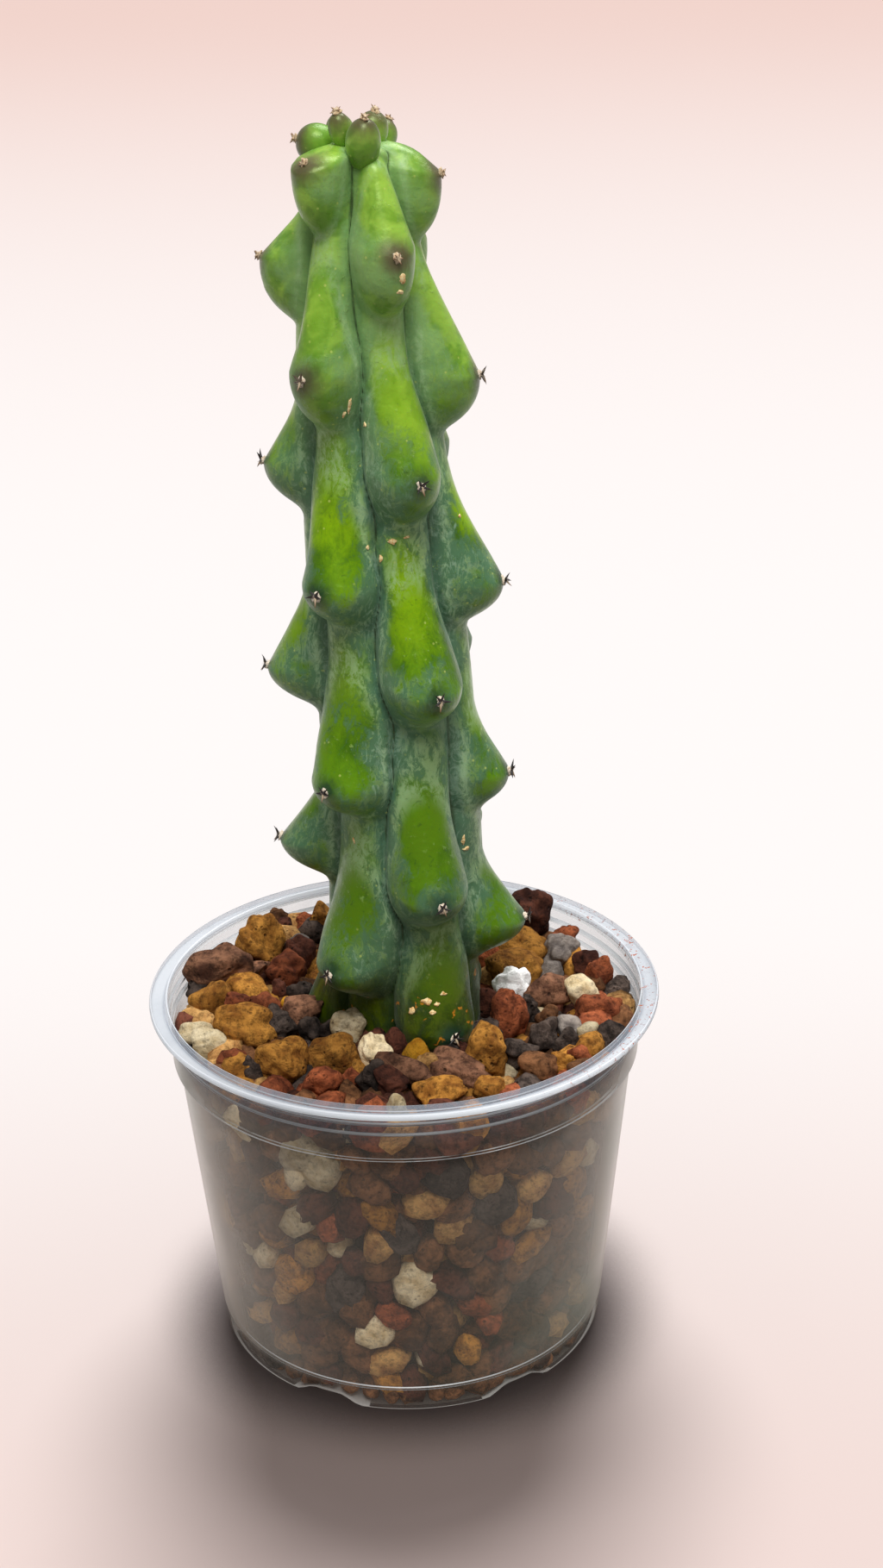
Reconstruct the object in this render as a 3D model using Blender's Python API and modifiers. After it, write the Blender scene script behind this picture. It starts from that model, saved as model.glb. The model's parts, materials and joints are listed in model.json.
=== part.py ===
"""Potted boobie cactus: a six-ribbed lumpy stem standing in a clear nursery pot of mixed gravel.

Units are metres, +Z is up, the front faces -Y, and the origin lies under the middle of the pot.
Azimuths are degrees from the front, positive to the right as seen from the front.
"""

import math
import random

import bmesh
import bpy
from mathutils import Euler, Vector
import numpy as np

MM = 0.001
GAP = 0.3 * MM                      # left between touching pieces

# Pot, driving sizes
RIM_RADIUS = 60.0 * MM
POT_HEIGHT = 88.6 * MM
WALL = 0.8 * MM
FLANGE_THICKNESS = 1.7 * MM
FLANGE_WIDTH = 3.8 * MM
RING_STEP = 0.5 * MM                # radial size of each fine ring under the rim
RING_STEP_HEIGHTS = (83.6 * MM, 80.8 * MM)
STACK_STEP_HEIGHT = 73.2 * MM       # the deeper step on which stacked pots rest
STACK_STEP = 1.3 * MM
BASE_LINE_HEIGHT = 6.5 * MM
BASE_LINE_RADIUS = 46.9 * MM
FOOT_OUTER_RADIUS = 45.4 * MM
FOOT_INNER_RADIUS = 36.0 * MM
FLOOR_HEIGHT = 3.0 * MM             # underside of the raised floor
BASE_LINE_STEP = 0.4 * MM           # small ledge at the base line
STEP_SLOPE = 0.3 * MM               # height over which a fine step is drawn
STACK_SLOPE = 0.5 * MM
FOOT_ROUND_OUT = 0.9 * MM           # bevel round the feet
FOOT_ROUND_UP = 1.2 * MM
FOOT_RISE_WIDTH = 2.0 * MM          # run of the slope from the floor down to the feet
RIM_ROUND = 0.7 * MM                # bevel on the rim's outer edge
LIP_DROP = 0.2 * MM                 # the flange's underside falls this much towards its edge
LIP_ROUND = 0.5 * MM
INNER_RIM_INSET = 0.6 * MM
POT_SEGMENTS = 48
FOOT_COUNT = 6
FOOT_AZIMUTH = 3.75
FOOT_HALF_ANGLE = 18.7
FOOT_RAMP_ANGLE = 7.5
FOOT_GAP_HEIGHT = 2.4 * MM
DRAIN_RADIUS = 2.6 * MM
DRAIN_CIRCLE = 23.0 * MM
DRAIN_COUNT = 6
DRAIN_SEGMENTS = 10
WELD_DISTANCE = 0.05 * MM
POT_SHARP_ANGLE = 30.0

# Stem, driving sizes
STEM_TOP = 286.0 * MM               # top of the plain stem, under the crown bulbs
STEM_FOOT = 48.0 * MM               # lowest point, buried in the gravel
STEM_BASE_X = 1.0 * MM
LEAN = 6.0 * MM                     # sideways lean to the left between the next two heights
LEAN_START = 120.0 * MM
LEAN_END = 265.0 * MM
VALLEY_HEIGHTS = np.array([48.0, 60.0, 78.0, 110.0, 180.0, 215.0, 256.0, 280.0, 286.0]) * MM
VALLEY_RADII = np.array([8.0, 12.5, 13.5, 12.4, 12.0, 10.7, 8.4, 6.0, 5.6]) * MM
CROWN_DOME = 3.5 * MM               # height of the rounded top of the plain stem
DOME_LIFT = 0.30                    # share of a lobe's rise that lifts the top of the crown
FOOT_DOME = 10.0 * MM
SMOOTH_FOOT_TOP = 68.0 * MM         # the buried foot is plain up to here
LUMPY_FROM = 82.0 * MM              # and fully lobed from here up
RIB_HEIGHT = 3.6 * MM               # rounded rib that carries a row of tubercles
RIB_HALF_ANGLE = 31.5
LOBE_HEIGHT = 5.2 * MM              # rounded body of a tubercle, under its nose
LOBE_HALF_ANGLE = 37.0
ARCH_LENGTH = 40.0 * MM             # from a tip up to the point of its arch
SHELF_HEIGHT = 282.5 * MM           # top of the highest tubercles
YOUTH_HEIGHTS = np.array([215.0, 240.0, 262.0]) * MM      # tips over which the three next rows change
NARROWINGS = np.array([0.50, 0.70, 0.62])   # share of a lobe's width that it loses up to its top
BELLY_FULLNESS = np.array([0.80, 0.60, 0.48])   # smaller is a fuller belly with a sharper crease
MELTS = np.array([5.0, 3.2, 1.8]) * MM      # height over which a tubercle melts into its rib
BELLY_HEIGHTS = np.array([100.0, 190.0, 235.0, 280.0]) * MM
BELLY_LENGTHS = np.array([12.0, 13.0, 15.5, 17.0]) * MM    # from a tip down to its crease
SLOW_SWAY = 2.2                     # degrees by which the lumps stray sideways
SLOW_SWAY_PITCH = 8.5 * MM
SWAY_TWIST = 2.0                    # how far the slow wave shifts round the stem, in radians
SWAY_PHASE = 0.7
QUICK_SWAY = 1.3
QUICK_SWAY_PITCH = 4.1 * MM
SWAY_FREE_LENGTH = 9.0 * MM         # a tip stays in place and its lobe strays this far above it
DROOP = 2.2 * MM                    # sag of a tip, which makes its belly overhang
ARCH_POWER = 1.2                    # how late a lobe narrows on its way up
BELLY_POWER = 1.9                   # how late it falls off on its way down
BELLY_NARROWING = 0.7               # share of its squared width that it loses there
SHOULDER_DROP = 0.25                # share of its height that it loses up to its arch
SHOULDER_END = 0.8                  # share of the arch from which it sinks into the rib
NOSE_POWER = 1.25                   # how hollow the flanks and the ridge of a nose are
STEM_SEGMENTS = 40
STEM_ROWS = 59
CROWN_ROWS = 3
CROWN_SHARE = 0.024                 # share of the section's length that the crown's rows cover
BURIED_ROWS = 4
BED_SHARE = 0.84                    # share of the section's length that stands above the gravel
DOME_SAMPLES = 60                   # points of the plain section along its two round ends
SIDE_SAMPLES = 600                  # and between them
STEM_SHARP_ANGLE = 50.0

# Tubercles of each rib from the top down: height of the tip, azimuth, reach from the stem's axis
# and length of the nose above the tip. Millimetres and degrees.
RIBS = {
    "left": ((260.5, -97, 21.5, 9), (216, -97, 24.2, 14), (168.5, -97, 28.3, 20),
             (126, -97, 28.8, 15), (82, -97, 25, 18)),
    "front_left": ((281, -40, 18.0, 6), (239, -34, 23, 26), (193, -33, 25.5, 26),
                   (147.5, -37, 27, 26), (102, -40, 27.5, 26)),
    "front_right": ((264, 23, 21, 22), (217, 25, 24.5, 26), (170, 23, 27, 26),
                    (121, 18, 27.5, 26), (86, 25, 25, 22)),
    "right": ((278, 80, 17.8, 6), (235.5, 83, 24.4, 28), (189.5, 83, 26.4, 26),
              (144, 83, 24.8, 15), (107, 83, 28, 15)),
    "back_right": ((261, 146, 21, 18), (216, 146, 24, 22), (169, 146, 26, 22),
                   (125, 146, 26.5, 22), (84, 146, 25, 20)),
    "back_left": ((281, -157, 18.0, 6), (237, -157, 23.5, 24), (191, -157, 25.5, 24),
                  (146, -157, 26.5, 22), (104, -157, 27, 22)),
}

# Crown bulbs, the youngest tubercles round the growing tip: centre, width, length, tilt outward,
# azimuth that they lean to. Lengths in mm, angles in degrees.
CROWN_BULBS = {
    "left": ((-12.5, 1.0, 283.8), 8.4, 10.0, 75, -90),
    "front_left": ((-8.0, -5.0, 287.6), 4.8, 7.4, 10, -60),
    "front_right": ((-3.4, -8.6, 285.2), 7.2, 11.2, 14, 20),
    "right": ((-1.7, 0.0, 286.2), 6.6, 9.0, 12, 60),
    "back_right": ((0.0, 5.2, 284.0), 6.4, 8.6, 35, 140),
    "back_left": ((-8.2, 6.0, 285.0), 6.0, 8.6, 30, -150),
}
BULB_SEGMENTS = 12
BULB_RINGS = 8

AREOLE_RADIUS = 1.25 * MM
AREOLE_TOP_SHARE = 0.7              # width of the pad's top, as a share of its foot
AREOLE_SIDES = 4
AREOLE_CLEARANCE = 7.0 * MM         # areoles lower than this over the gravel's core are left out
AREOLE_HEIGHT = 0.8 * MM            # how far the pad stands out of the skin, and is sunk in it
AREOLE_LIFT = 0.25                  # upward share of the direction that an areole faces
SPINE_COUNT = 3
SPINE_LENGTH = 2.3 * MM
SPINE_RADIUS = 0.38 * MM
SPINE_SPREAD = 42.0                 # degrees from the areole's own direction
SPINE_SIDES = 3
SPINE_ROOTED = 0.1                  # share of a spine that is sunk in its pad

# Gravel, driving sizes
BED_CORE_MARGIN = 4.2 * MM          # the core stays this far inside the pot's wall
BED_CORE_TOP = 77.0 * MM
BED_CORE_SEGMENTS = 24
SIDE_ROWS = 5
SIDE_STONES = 16
SIDE_STONE_SIZE = (20.5 * MM, 11.0 * MM, 16.5 * MM)
SIDE_STONE_GROW = (0.88, 1.1)
SIDE_STONE_SHIFT = 0.12             # share of the space between two stones
SIDE_STONE_RISE = 0.7 * MM
SIDE_STONE_SUNK = 0.9               # share of the core's margin that their centres stand in from the wall
TOP_RINGS = ((44.5 * MM, 16), (32.5 * MM, 12), (22.0 * MM, 7))
TOP_STONE_SIZE = (14.0 * MM, 14.0 * MM, 12.0 * MM)
TOP_STONE_GROW = (0.8, 1.15)
TOP_STONE_SHIFT = 0.2
TOP_STONE_STRAY = 1.5 * MM          # in or out of its ring
TOP_STONE_RISE = (-1.5 * MM, 2.5 * MM)
TOP_STONE_HEIGHT = 79.0 * MM
STONE_UNEVEN = (0.84, 1.1)          # how far a stone's corners lie in or out
LOOSE_TILT = 0.3                    # radians
STEM_CLEARANCE = 0.6 * MM
SEAT_CLEARANCE = 0.35 * MM
GRAVEL_SEED = 11

STONE_SHARP_ANGLE = 25.0

# Plain colours of the materials
CLEAR_PLASTIC = (0.80, 0.84, 0.88)
PLASTIC_ROUGHNESS = 0.25
PLASTIC_ALPHA = 0.35
STEM_GREEN = (0.16, 0.30, 0.05)
STEM_ROUGHNESS = 0.45
GRAVEL_BROWN = (0.25, 0.13, 0.08)
STONE_ROUGHNESS = 0.9
OCHRE = (0.40, 0.22, 0.07)
BROWN = (0.17, 0.08, 0.05)
RED = (0.36, 0.10, 0.06)
CREAM = (0.68, 0.58, 0.40)
WHITE = (0.90, 0.90, 0.88)
DARK = (0.08, 0.04, 0.04)

# Loose stones lying on top: centre and size in mm, turn in degrees, colour
LOOSE_STONES = {
    "stone_brown_flake": ((-45.6, 13.5, 85.0), (13.0, 11.0, 8.5), 20, BROWN),
    "stone_ochre_back_left": ((-35.8, 29.0, 84.0), (13.0, 12.0, 11.5), 50, OCHRE),
    "stone_ochre_long": ((-37.0, -13.0, 83.0), (15.0, 9.5, 9.0), -20, OCHRE),
    "stone_ochre_front_left": ((-27.8, -28.0, 82.5), (11.5, 9.5, 9.5), 10, OCHRE),
    "stone_ochre_brown_front": ((-16.5, -24.0, 83.0), (12.0, 9.0, 9.0), 5, OCHRE),
    "stone_cream_front": ((-6.6, -24.0, 82.9), (7.4, 7.0, 7.5), 40, CREAM),
    "stone_ochre_front_right": ((18.5, -27.0, 83.5), (10.0, 9.0, 11.5), 70, OCHRE),
    "stone_red_tall": ((24.5, -11.5, 84.0), (8.0, 8.0, 11.0), 0, RED),
    "stone_white_perlite": ((25.5, 5.3, 84.0), (8.0, 7.5, 7.0), 30, WHITE),
    "stone_dark_back": ((31.5, 35.0, 86.0), (11.0, 10.5, 12.5), -40, DARK),
    "stone_orange_flake": ((45.5, -6.0, 82.2), (11.0, 10.0, 7.0), 15, RED),
    "stone_grey_right": ((38.5, 22.5, 83.5), (9.0, 8.5, 8.0), 60, BROWN),
}


def around(azimuth, radius, height):
    """Point at an azimuth (degrees from the front) on a circle about the pot's axis."""
    turn = math.radians(azimuth)
    return Vector((radius * math.sin(turn), -radius * math.cos(turn), height))


def material(name, colour, roughness, alpha=1.0):
    """Principled material with one plain colour."""
    result = bpy.data.materials.new(name)
    result.use_nodes = True
    shader = result.node_tree.nodes["Principled BSDF"]
    shader.inputs["Base Color"].default_value = (*colour, 1.0)
    shader.inputs["Roughness"].default_value = roughness
    shader.inputs["Alpha"].default_value = alpha
    result.diffuse_color = (*colour, alpha)
    return result


def new_object(name, mesh, collection):
    """Object for a mesh, linked to a collection."""
    result = bpy.data.objects.new(name, mesh)
    collection.objects.link(result)
    return result


def finish_bmesh(shape, name):
    """Mesh from a bmesh, with its faces pointing out."""
    bmesh.ops.recalc_face_normals(shape, faces=shape.faces)
    mesh = bpy.data.meshes.new(name)
    shape.to_mesh(mesh)
    shape.free()
    return mesh


def apply_modifiers(target):
    """Replace an object's mesh by its evaluated mesh and drop its modifiers."""
    graph = bpy.context.evaluated_depsgraph_get()
    mesh = bpy.data.meshes.new_from_object(target.evaluated_get(graph))
    target.modifiers.clear()
    target.data = mesh


def combine(target, tools, operation):
    """One Boolean of a target with a collection of tools, applied, after which the tools go."""
    boolean = target.modifiers.new("combine", "BOOLEAN")
    boolean.operation = operation
    boolean.operand_type = "COLLECTION"
    boolean.collection = tools
    apply_modifiers(target)
    for tool in list(tools.objects):
        bpy.data.objects.remove(tool)


def keep_largest_body(target):
    """Drop the loose scraps that cutting has left beside an object's main body."""
    shape = bmesh.new()
    shape.from_mesh(target.data)
    waiting = set(shape.verts)
    bodies = []
    while waiting:
        body = {waiting.pop()}
        edge_of_body = list(body)
        while edge_of_body:
            vertex = edge_of_body.pop()
            near = {edge.other_vert(vertex) for edge in vertex.link_edges} & waiting
            waiting -= near
            body |= near
            edge_of_body.extend(near)
        bodies.append(body)
    bodies.sort(key=len)
    for body in bodies[:-1]:
        bmesh.ops.delete(shape, geom=list(body), context="VERTS")
    shape.to_mesh(target.data)
    shape.free()


def smooth(target, degrees):
    """Shade smooth, with edges sharper than an angle kept sharp."""
    target.data.shade_smooth()
    target.data.set_sharp_from_angle(angle=math.radians(degrees))


def step_between(value, low, high):
    """Smooth step from 0 at low to 1 at high."""
    part = np.clip((value - low) / (high - low), 0.0, 1.0)
    return part * part * (3.0 - 2.0 * part)


def outer_wall_radius(height):
    """Outer radius of the tapered wall between the base line and the stacking step."""
    top_radius = RIM_RADIUS - FLANGE_WIDTH - len(RING_STEP_HEIGHTS) * RING_STEP - STACK_STEP
    part = (height - BASE_LINE_HEIGHT) / (STACK_STEP_HEIGHT - BASE_LINE_HEIGHT)
    return BASE_LINE_RADIUS + part * (top_radius - BASE_LINE_RADIUS)


def inner_wall_radius(height):
    """Largest radius that stays clear of the pot's faceted inner wall."""
    return (outer_wall_radius(height) - WALL) * math.cos(math.pi / POT_SEGMENTS) - GAP


def pot_profile():
    """Closed half section of the pot: up the inside, over the rim, down the outside."""
    outside = [(FOOT_INNER_RADIUS, 0.0), (FOOT_OUTER_RADIUS, 0.0)]
    outside.append((FOOT_OUTER_RADIUS + FOOT_ROUND_OUT, FOOT_ROUND_UP))
    outside.append((BASE_LINE_RADIUS - BASE_LINE_STEP, BASE_LINE_HEIGHT))
    outside.append((BASE_LINE_RADIUS, BASE_LINE_HEIGHT + STEP_SLOPE))
    radius = outer_wall_radius(STACK_STEP_HEIGHT)
    outside.append((radius, STACK_STEP_HEIGHT))
    radius += STACK_STEP
    outside.append((radius, STACK_STEP_HEIGHT + STACK_SLOPE))
    for height in reversed(RING_STEP_HEIGHTS):
        outside.append((radius, height - STEP_SLOPE))
        radius += RING_STEP
        outside.append((radius, height))
    flange_bottom = POT_HEIGHT - FLANGE_THICKNESS
    outside.append((radius, flange_bottom))
    outside.append((RIM_RADIUS - LIP_ROUND, flange_bottom - LIP_DROP))
    outside.append((RIM_RADIUS, flange_bottom + STEP_SLOPE))
    outside.append((RIM_RADIUS, POT_HEIGHT - RIM_ROUND))
    outside.append((RIM_RADIUS - RIM_ROUND, POT_HEIGHT))

    half_wall = WALL / 2.0
    inside = [(0.0, FLOOR_HEIGHT + WALL)]
    inside.append((FOOT_INNER_RADIUS - FOOT_RISE_WIDTH + half_wall, FLOOR_HEIGHT + WALL))
    inside.append((FOOT_INNER_RADIUS + half_wall, WALL))
    inside.append((FOOT_OUTER_RADIUS - half_wall, WALL))
    inside.append((BASE_LINE_RADIUS - WALL - STEP_SLOPE, BASE_LINE_HEIGHT))
    radius = outer_wall_radius(STACK_STEP_HEIGHT) - WALL
    step_height = STACK_STEP_HEIGHT + WALL / 4.0
    inside.append((radius, step_height))
    inside.append((radius + STACK_STEP, step_height + STACK_SLOPE))
    inner_rim = RIM_RADIUS - FLANGE_WIDTH - INNER_RIM_INSET
    inside.append((inner_rim - STEP_SLOPE, POT_HEIGHT - FLANGE_THICKNESS))
    inside.append((inner_rim, POT_HEIGHT - STEP_SLOPE))
    inside.append((inner_rim + STEP_SLOPE, POT_HEIGHT))

    below = [(FOOT_INNER_RADIUS - FOOT_RISE_WIDTH, FLOOR_HEIGHT), (0.0, FLOOR_HEIGHT)]
    return inside + list(reversed(outside)) + below


def turned(name, profile, steps, collection):
    """Body of revolution from a half section that runs down its outer side."""
    mesh = bpy.data.meshes.new(name)
    points = [(radius, 0.0, height) for radius, height in profile]
    edges = [(index, index + 1) for index in range(len(points) - 1)]
    mesh.from_pydata(points, edges, [])
    result = new_object(name, mesh, collection)
    screw = result.modifiers.new("turn", "SCREW")
    screw.steps = steps
    screw.render_steps = steps
    screw.use_merge_vertices = True
    screw.merge_threshold = WELD_DISTANCE
    apply_modifiers(result)
    return result


def foot_lift(x, y):
    """How far the base is raised in the gaps between the feet, 0 under a foot."""
    pitch = 360.0 / FOOT_COUNT
    azimuth = math.degrees(math.atan2(x, -y)) - FOOT_AZIMUTH
    off_centre = abs((azimuth + pitch / 2.0) % pitch - pitch / 2.0)
    part = (off_centre - FOOT_HALF_ANGLE) / FOOT_RAMP_ANGLE
    return FOOT_GAP_HEIGHT * min(max(part, 0.0), 1.0)


def triangulate_base(mesh):
    """Split the base's bent faces along their short diagonals, alike inside and outside."""
    shape = bmesh.new()
    shape.from_mesh(mesh)
    low = [face for face in shape.faces if face.calc_center_median().z < BASE_LINE_HEIGHT]
    bmesh.ops.triangulate(shape, faces=low, quad_method="SHORT_EDGE")
    shape.to_mesh(mesh)
    shape.free()


def make_pot(collection, cutters):
    """Clear pot with stepped rim, six feet pressed down from its base, and drain holes."""
    pot = turned("pot", pot_profile(), POT_SEGMENTS, collection)
    foot_zone = FOOT_INNER_RADIUS - WALL / 2.0
    for vertex in pot.data.vertices:
        if math.hypot(vertex.co.x, vertex.co.y) > foot_zone and vertex.co.z < BASE_LINE_HEIGHT:
            share = min(1.0, (BASE_LINE_HEIGHT - vertex.co.z) / (BASE_LINE_HEIGHT - WALL))
            vertex.co.z += share * foot_lift(vertex.co.x, vertex.co.y)
    triangulate_base(pot.data)
    for index in range(DRAIN_COUNT + 1):
        radius = DRAIN_CIRCLE if index else 0.0
        place = around(index * 360.0 / DRAIN_COUNT, radius, FLOOR_HEIGHT)
        shape = bmesh.new()
        bmesh.ops.create_cone(shape, cap_ends=True, segments=DRAIN_SEGMENTS, radius1=DRAIN_RADIUS,
                              radius2=DRAIN_RADIUS, depth=4 * WALL)
        cutter = new_object(f"drain_cutter_{index}", finish_bmesh(shape, "drain_cutter"), cutters)
        cutter.location = place
    bpy.context.view_layer.update()
    combine(pot, cutters, "DIFFERENCE")
    smooth(pot, POT_SHARP_ANGLE)
    return pot


def stem_axis_x(height):
    """Sideways place of the stem's axis at a height."""
    return STEM_BASE_X - LEAN * step_between(height, LEAN_START, LEAN_END)


def meridian():
    """Plain stem's half section from tip to foot: radius, height and length along it."""
    angle = np.linspace(0.0, math.pi / 2.0, DOME_SAMPLES)
    crown_radius = np.interp(STEM_TOP - CROWN_DOME, VALLEY_HEIGHTS, VALLEY_RADII)
    foot_radius = np.interp(STEM_FOOT + FOOT_DOME, VALLEY_HEIGHTS, VALLEY_RADII)
    side_height = np.linspace(STEM_TOP - CROWN_DOME, STEM_FOOT + FOOT_DOME, SIDE_SAMPLES)
    side_radius = np.interp(side_height, VALLEY_HEIGHTS, VALLEY_RADII)
    radius = np.concatenate((crown_radius * np.sin(angle), side_radius[1:-1],
                             foot_radius * np.cos(angle)))
    height = np.concatenate((STEM_TOP - CROWN_DOME * (1.0 - np.cos(angle)), side_height[1:-1],
                             STEM_FOOT + FOOT_DOME * (1.0 - np.sin(angle))))
    length = np.concatenate(([0.0], np.cumsum(np.hypot(np.diff(radius), np.diff(height)))))
    return radius, height, length


def tubercle_height(above, turn, reach, arch_length, narrowing, belly_length, fullness, nose_length):
    """Height of one tubercle over the valley, at a length above its tip and a turn off its middle.

    It is a rounded lobe, which narrows upward to its arch and rounds off downward, with a nose
    that runs along the lobe's middle down to the tip.
    """
    upper = above >= 0.0
    up = np.clip(above / arch_length, 0.0, 1.0)
    down = np.clip(-above / belly_length, 0.0, 1.0)
    belly = (1.0 - down ** BELLY_POWER) ** fullness
    wide = np.where(upper, 1.0 - narrowing * up ** ARCH_POWER, np.sqrt(1.0 - BELLY_NARROWING * down ** 2))
    across = np.clip(np.abs(turn) / (LOBE_HALF_ANGLE * wide), 0.0, 1.0)
    shoulder = (1.0 - SHOULDER_DROP * up) * (1.0 - step_between(up, SHOULDER_END, 1.0))
    lobe = LOBE_HEIGHT * np.sqrt(1.0 - across ** 2) * np.where(upper, shoulder, belly)
    run = np.where(upper, (1.0 - np.clip(above / nose_length, 0.0, 1.0)) ** NOSE_POWER, belly)
    nose = (reach - LOBE_HEIGHT) * run * (1.0 - across ** 2) ** NOSE_POWER
    return lobe + nose


def melted(first, second, melt):
    """The higher of two heights, with the corner between them filled where they differ by less than melt."""
    return np.maximum(first, second) + np.clip(melt - np.abs(first - second), 0.0, None) ** 2 / (4.0 * melt)


def sway(height, azimuth):
    """Degrees by which the lumps stray sideways: two slow waves up the stem that turn round it."""
    turn = np.radians(azimuth)
    slow = np.sin(height / SLOW_SWAY_PITCH + SWAY_TWIST * np.sin(2.0 * turn + SWAY_PHASE))
    return SLOW_SWAY * slow + QUICK_SWAY * np.sin(height / QUICK_SWAY_PITCH + 3.0 * turn)


def stem_point(length_share, azimuth):
    """Points of the lumpy stem for arrays of share along its section and of azimuth in degrees."""
    radius, height, length = meridian()
    place = length_share * length[-1]
    base_radius = np.interp(place, length, radius)
    base_height = np.interp(place, length, height)
    slope_out = np.interp(place, length, -np.gradient(height, length))
    slope_up = np.interp(place, length, np.gradient(radius, length))
    stray = sway(base_height, azimuth)
    rise = np.zeros_like(base_radius + azimuth)
    bulge = np.zeros_like(rise)
    for tips in RIBS.values():
        levels = [tip[0] * MM for tip in reversed(tips)]
        middle = np.interp(base_height, levels, [tip[1] for tip in reversed(tips)]) + stray
        off_rib = (azimuth - middle + 180.0) % 360.0 - 180.0
        own = RIB_HEIGHT * np.sqrt(np.clip(1.0 - (off_rib / RIB_HALF_ANGLE) ** 2, 0.0, 1.0))
        for tip_height, tip_azimuth, tip_radius, nose in tips:
            level = tip_height * MM
            turn = (azimuth - tip_azimuth + 180.0) % 360.0 - 180.0
            turn = turn - stray * np.clip((base_height - level) / SWAY_FREE_LENGTH, 0.0, 1.0)
            reach = tip_radius * MM - np.interp(level, VALLEY_HEIGHTS, VALLEY_RADII)
            arch = min(ARCH_LENGTH, SHELF_HEIGHT - level)
            narrowing, fullness, melt = (np.interp(level, YOUTH_HEIGHTS, table)
                                         for table in (NARROWINGS, BELLY_FULLNESS, MELTS))
            belly = np.interp(level, BELLY_HEIGHTS, BELLY_LENGTHS)
            lump = tubercle_height(base_height - level - DROOP, turn, reach, arch, narrowing, belly,
                                   fullness, nose * MM)
            own = melted(own, lump, melt)
            bulge = np.maximum(bulge, lump / reach)
        rise = np.maximum(rise, own)
    fade = step_between(base_height, SMOOTH_FOOT_TOP, LUMPY_FROM)
    fade = fade * step_between(STEM_TOP - base_height, 0.0, CROWN_DOME)
    rise = rise * fade
    out = base_radius + rise * slope_out
    up = base_height + DOME_LIFT * rise * slope_up - DROOP * bulge ** 2 * fade
    turn = np.radians(azimuth)
    return np.stack((out * np.sin(turn) + stem_axis_x(up), -out * np.cos(turn), up), axis=-1)


def stem_mesh(name, swell=0.0):
    """Sphere whose rings and meridians are carried onto the lumpy stem, swollen for a cutter."""
    shape = bmesh.new()
    bmesh.ops.create_uvsphere(shape, u_segments=STEM_SEGMENTS, v_segments=STEM_ROWS, radius=1.0)
    directions = np.array([vertex.co for vertex in shape.verts])
    row = np.round(np.arccos(np.clip(directions[:, 2], -1.0, 1.0)) / math.pi * STEM_ROWS)
    share = np.interp(row, (0, CROWN_ROWS, STEM_ROWS - BURIED_ROWS, STEM_ROWS),
                      (0.0, CROWN_SHARE, BED_SHARE, 1.0))
    azimuth = np.degrees(np.arctan2(directions[:, 0], -directions[:, 1]))
    for vertex, place in zip(shape.verts, stem_point(share, azimuth)):
        vertex.co = place
    bmesh.ops.triangulate(shape, faces=shape.faces, quad_method="FIXED")
    bmesh.ops.recalc_face_normals(shape, faces=shape.faces)
    shape.normal_update()
    for vertex in shape.verts:
        vertex.co += vertex.normal * swell
    return finish_bmesh(shape, name)


def tip_frames(stem):
    """Place and outward direction of every areole above the gravel, on tubercles and crown bulbs."""
    frames = []
    height, length = meridian()[1:]
    for tips in RIBS.values():
        for tip_height, tip_azimuth in [tip[:2] for tip in tips]:
            share = np.interp(-(tip_height * MM + DROOP), -height, length) / length[-1]
            place = stem_point(np.array([share]), np.array([float(tip_azimuth)]))[0]
            on_skin = stem.closest_point_on_mesh(Vector(place))[1]
            if on_skin.z > BED_CORE_TOP + AREOLE_CLEARANCE:
                frames.append((on_skin, around(tip_azimuth, 1.0, AREOLE_LIFT).normalized()))
    for bulb in CROWN_BULBS.values():
        outward = bulb_direction(*bulb[3:])
        half_long = 0.5 * bulb[2]
        frames.append(((Vector(bulb[0]) + outward * half_long) * MM, outward))
    return frames


def bulb_direction(tilt, azimuth):
    """Unit direction tilted from upright towards an azimuth."""
    lean = math.radians(tilt)
    flat = around(azimuth, math.sin(lean), 0.0)
    return Vector((flat.x, flat.y, math.cos(lean)))


def add_crown_bulbs(tools):
    """Egg-shaped young tubercles round the growing tip."""
    for name, (centre, width, long, tilt, azimuth) in CROWN_BULBS.items():
        shape = bmesh.new()
        bmesh.ops.create_uvsphere(shape, u_segments=BULB_SEGMENTS, v_segments=BULB_RINGS, radius=0.5 * MM)
        bulb = new_object(f"bulb_{name}", finish_bmesh(shape, "bulb"), tools)
        bulb.scale = (width, width, long)
        bulb.rotation_mode = "QUATERNION"
        bulb.rotation_quaternion = bulb_direction(tilt, azimuth).to_track_quat("Z", "Y")
        bulb.location = Vector(centre) * MM


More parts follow.
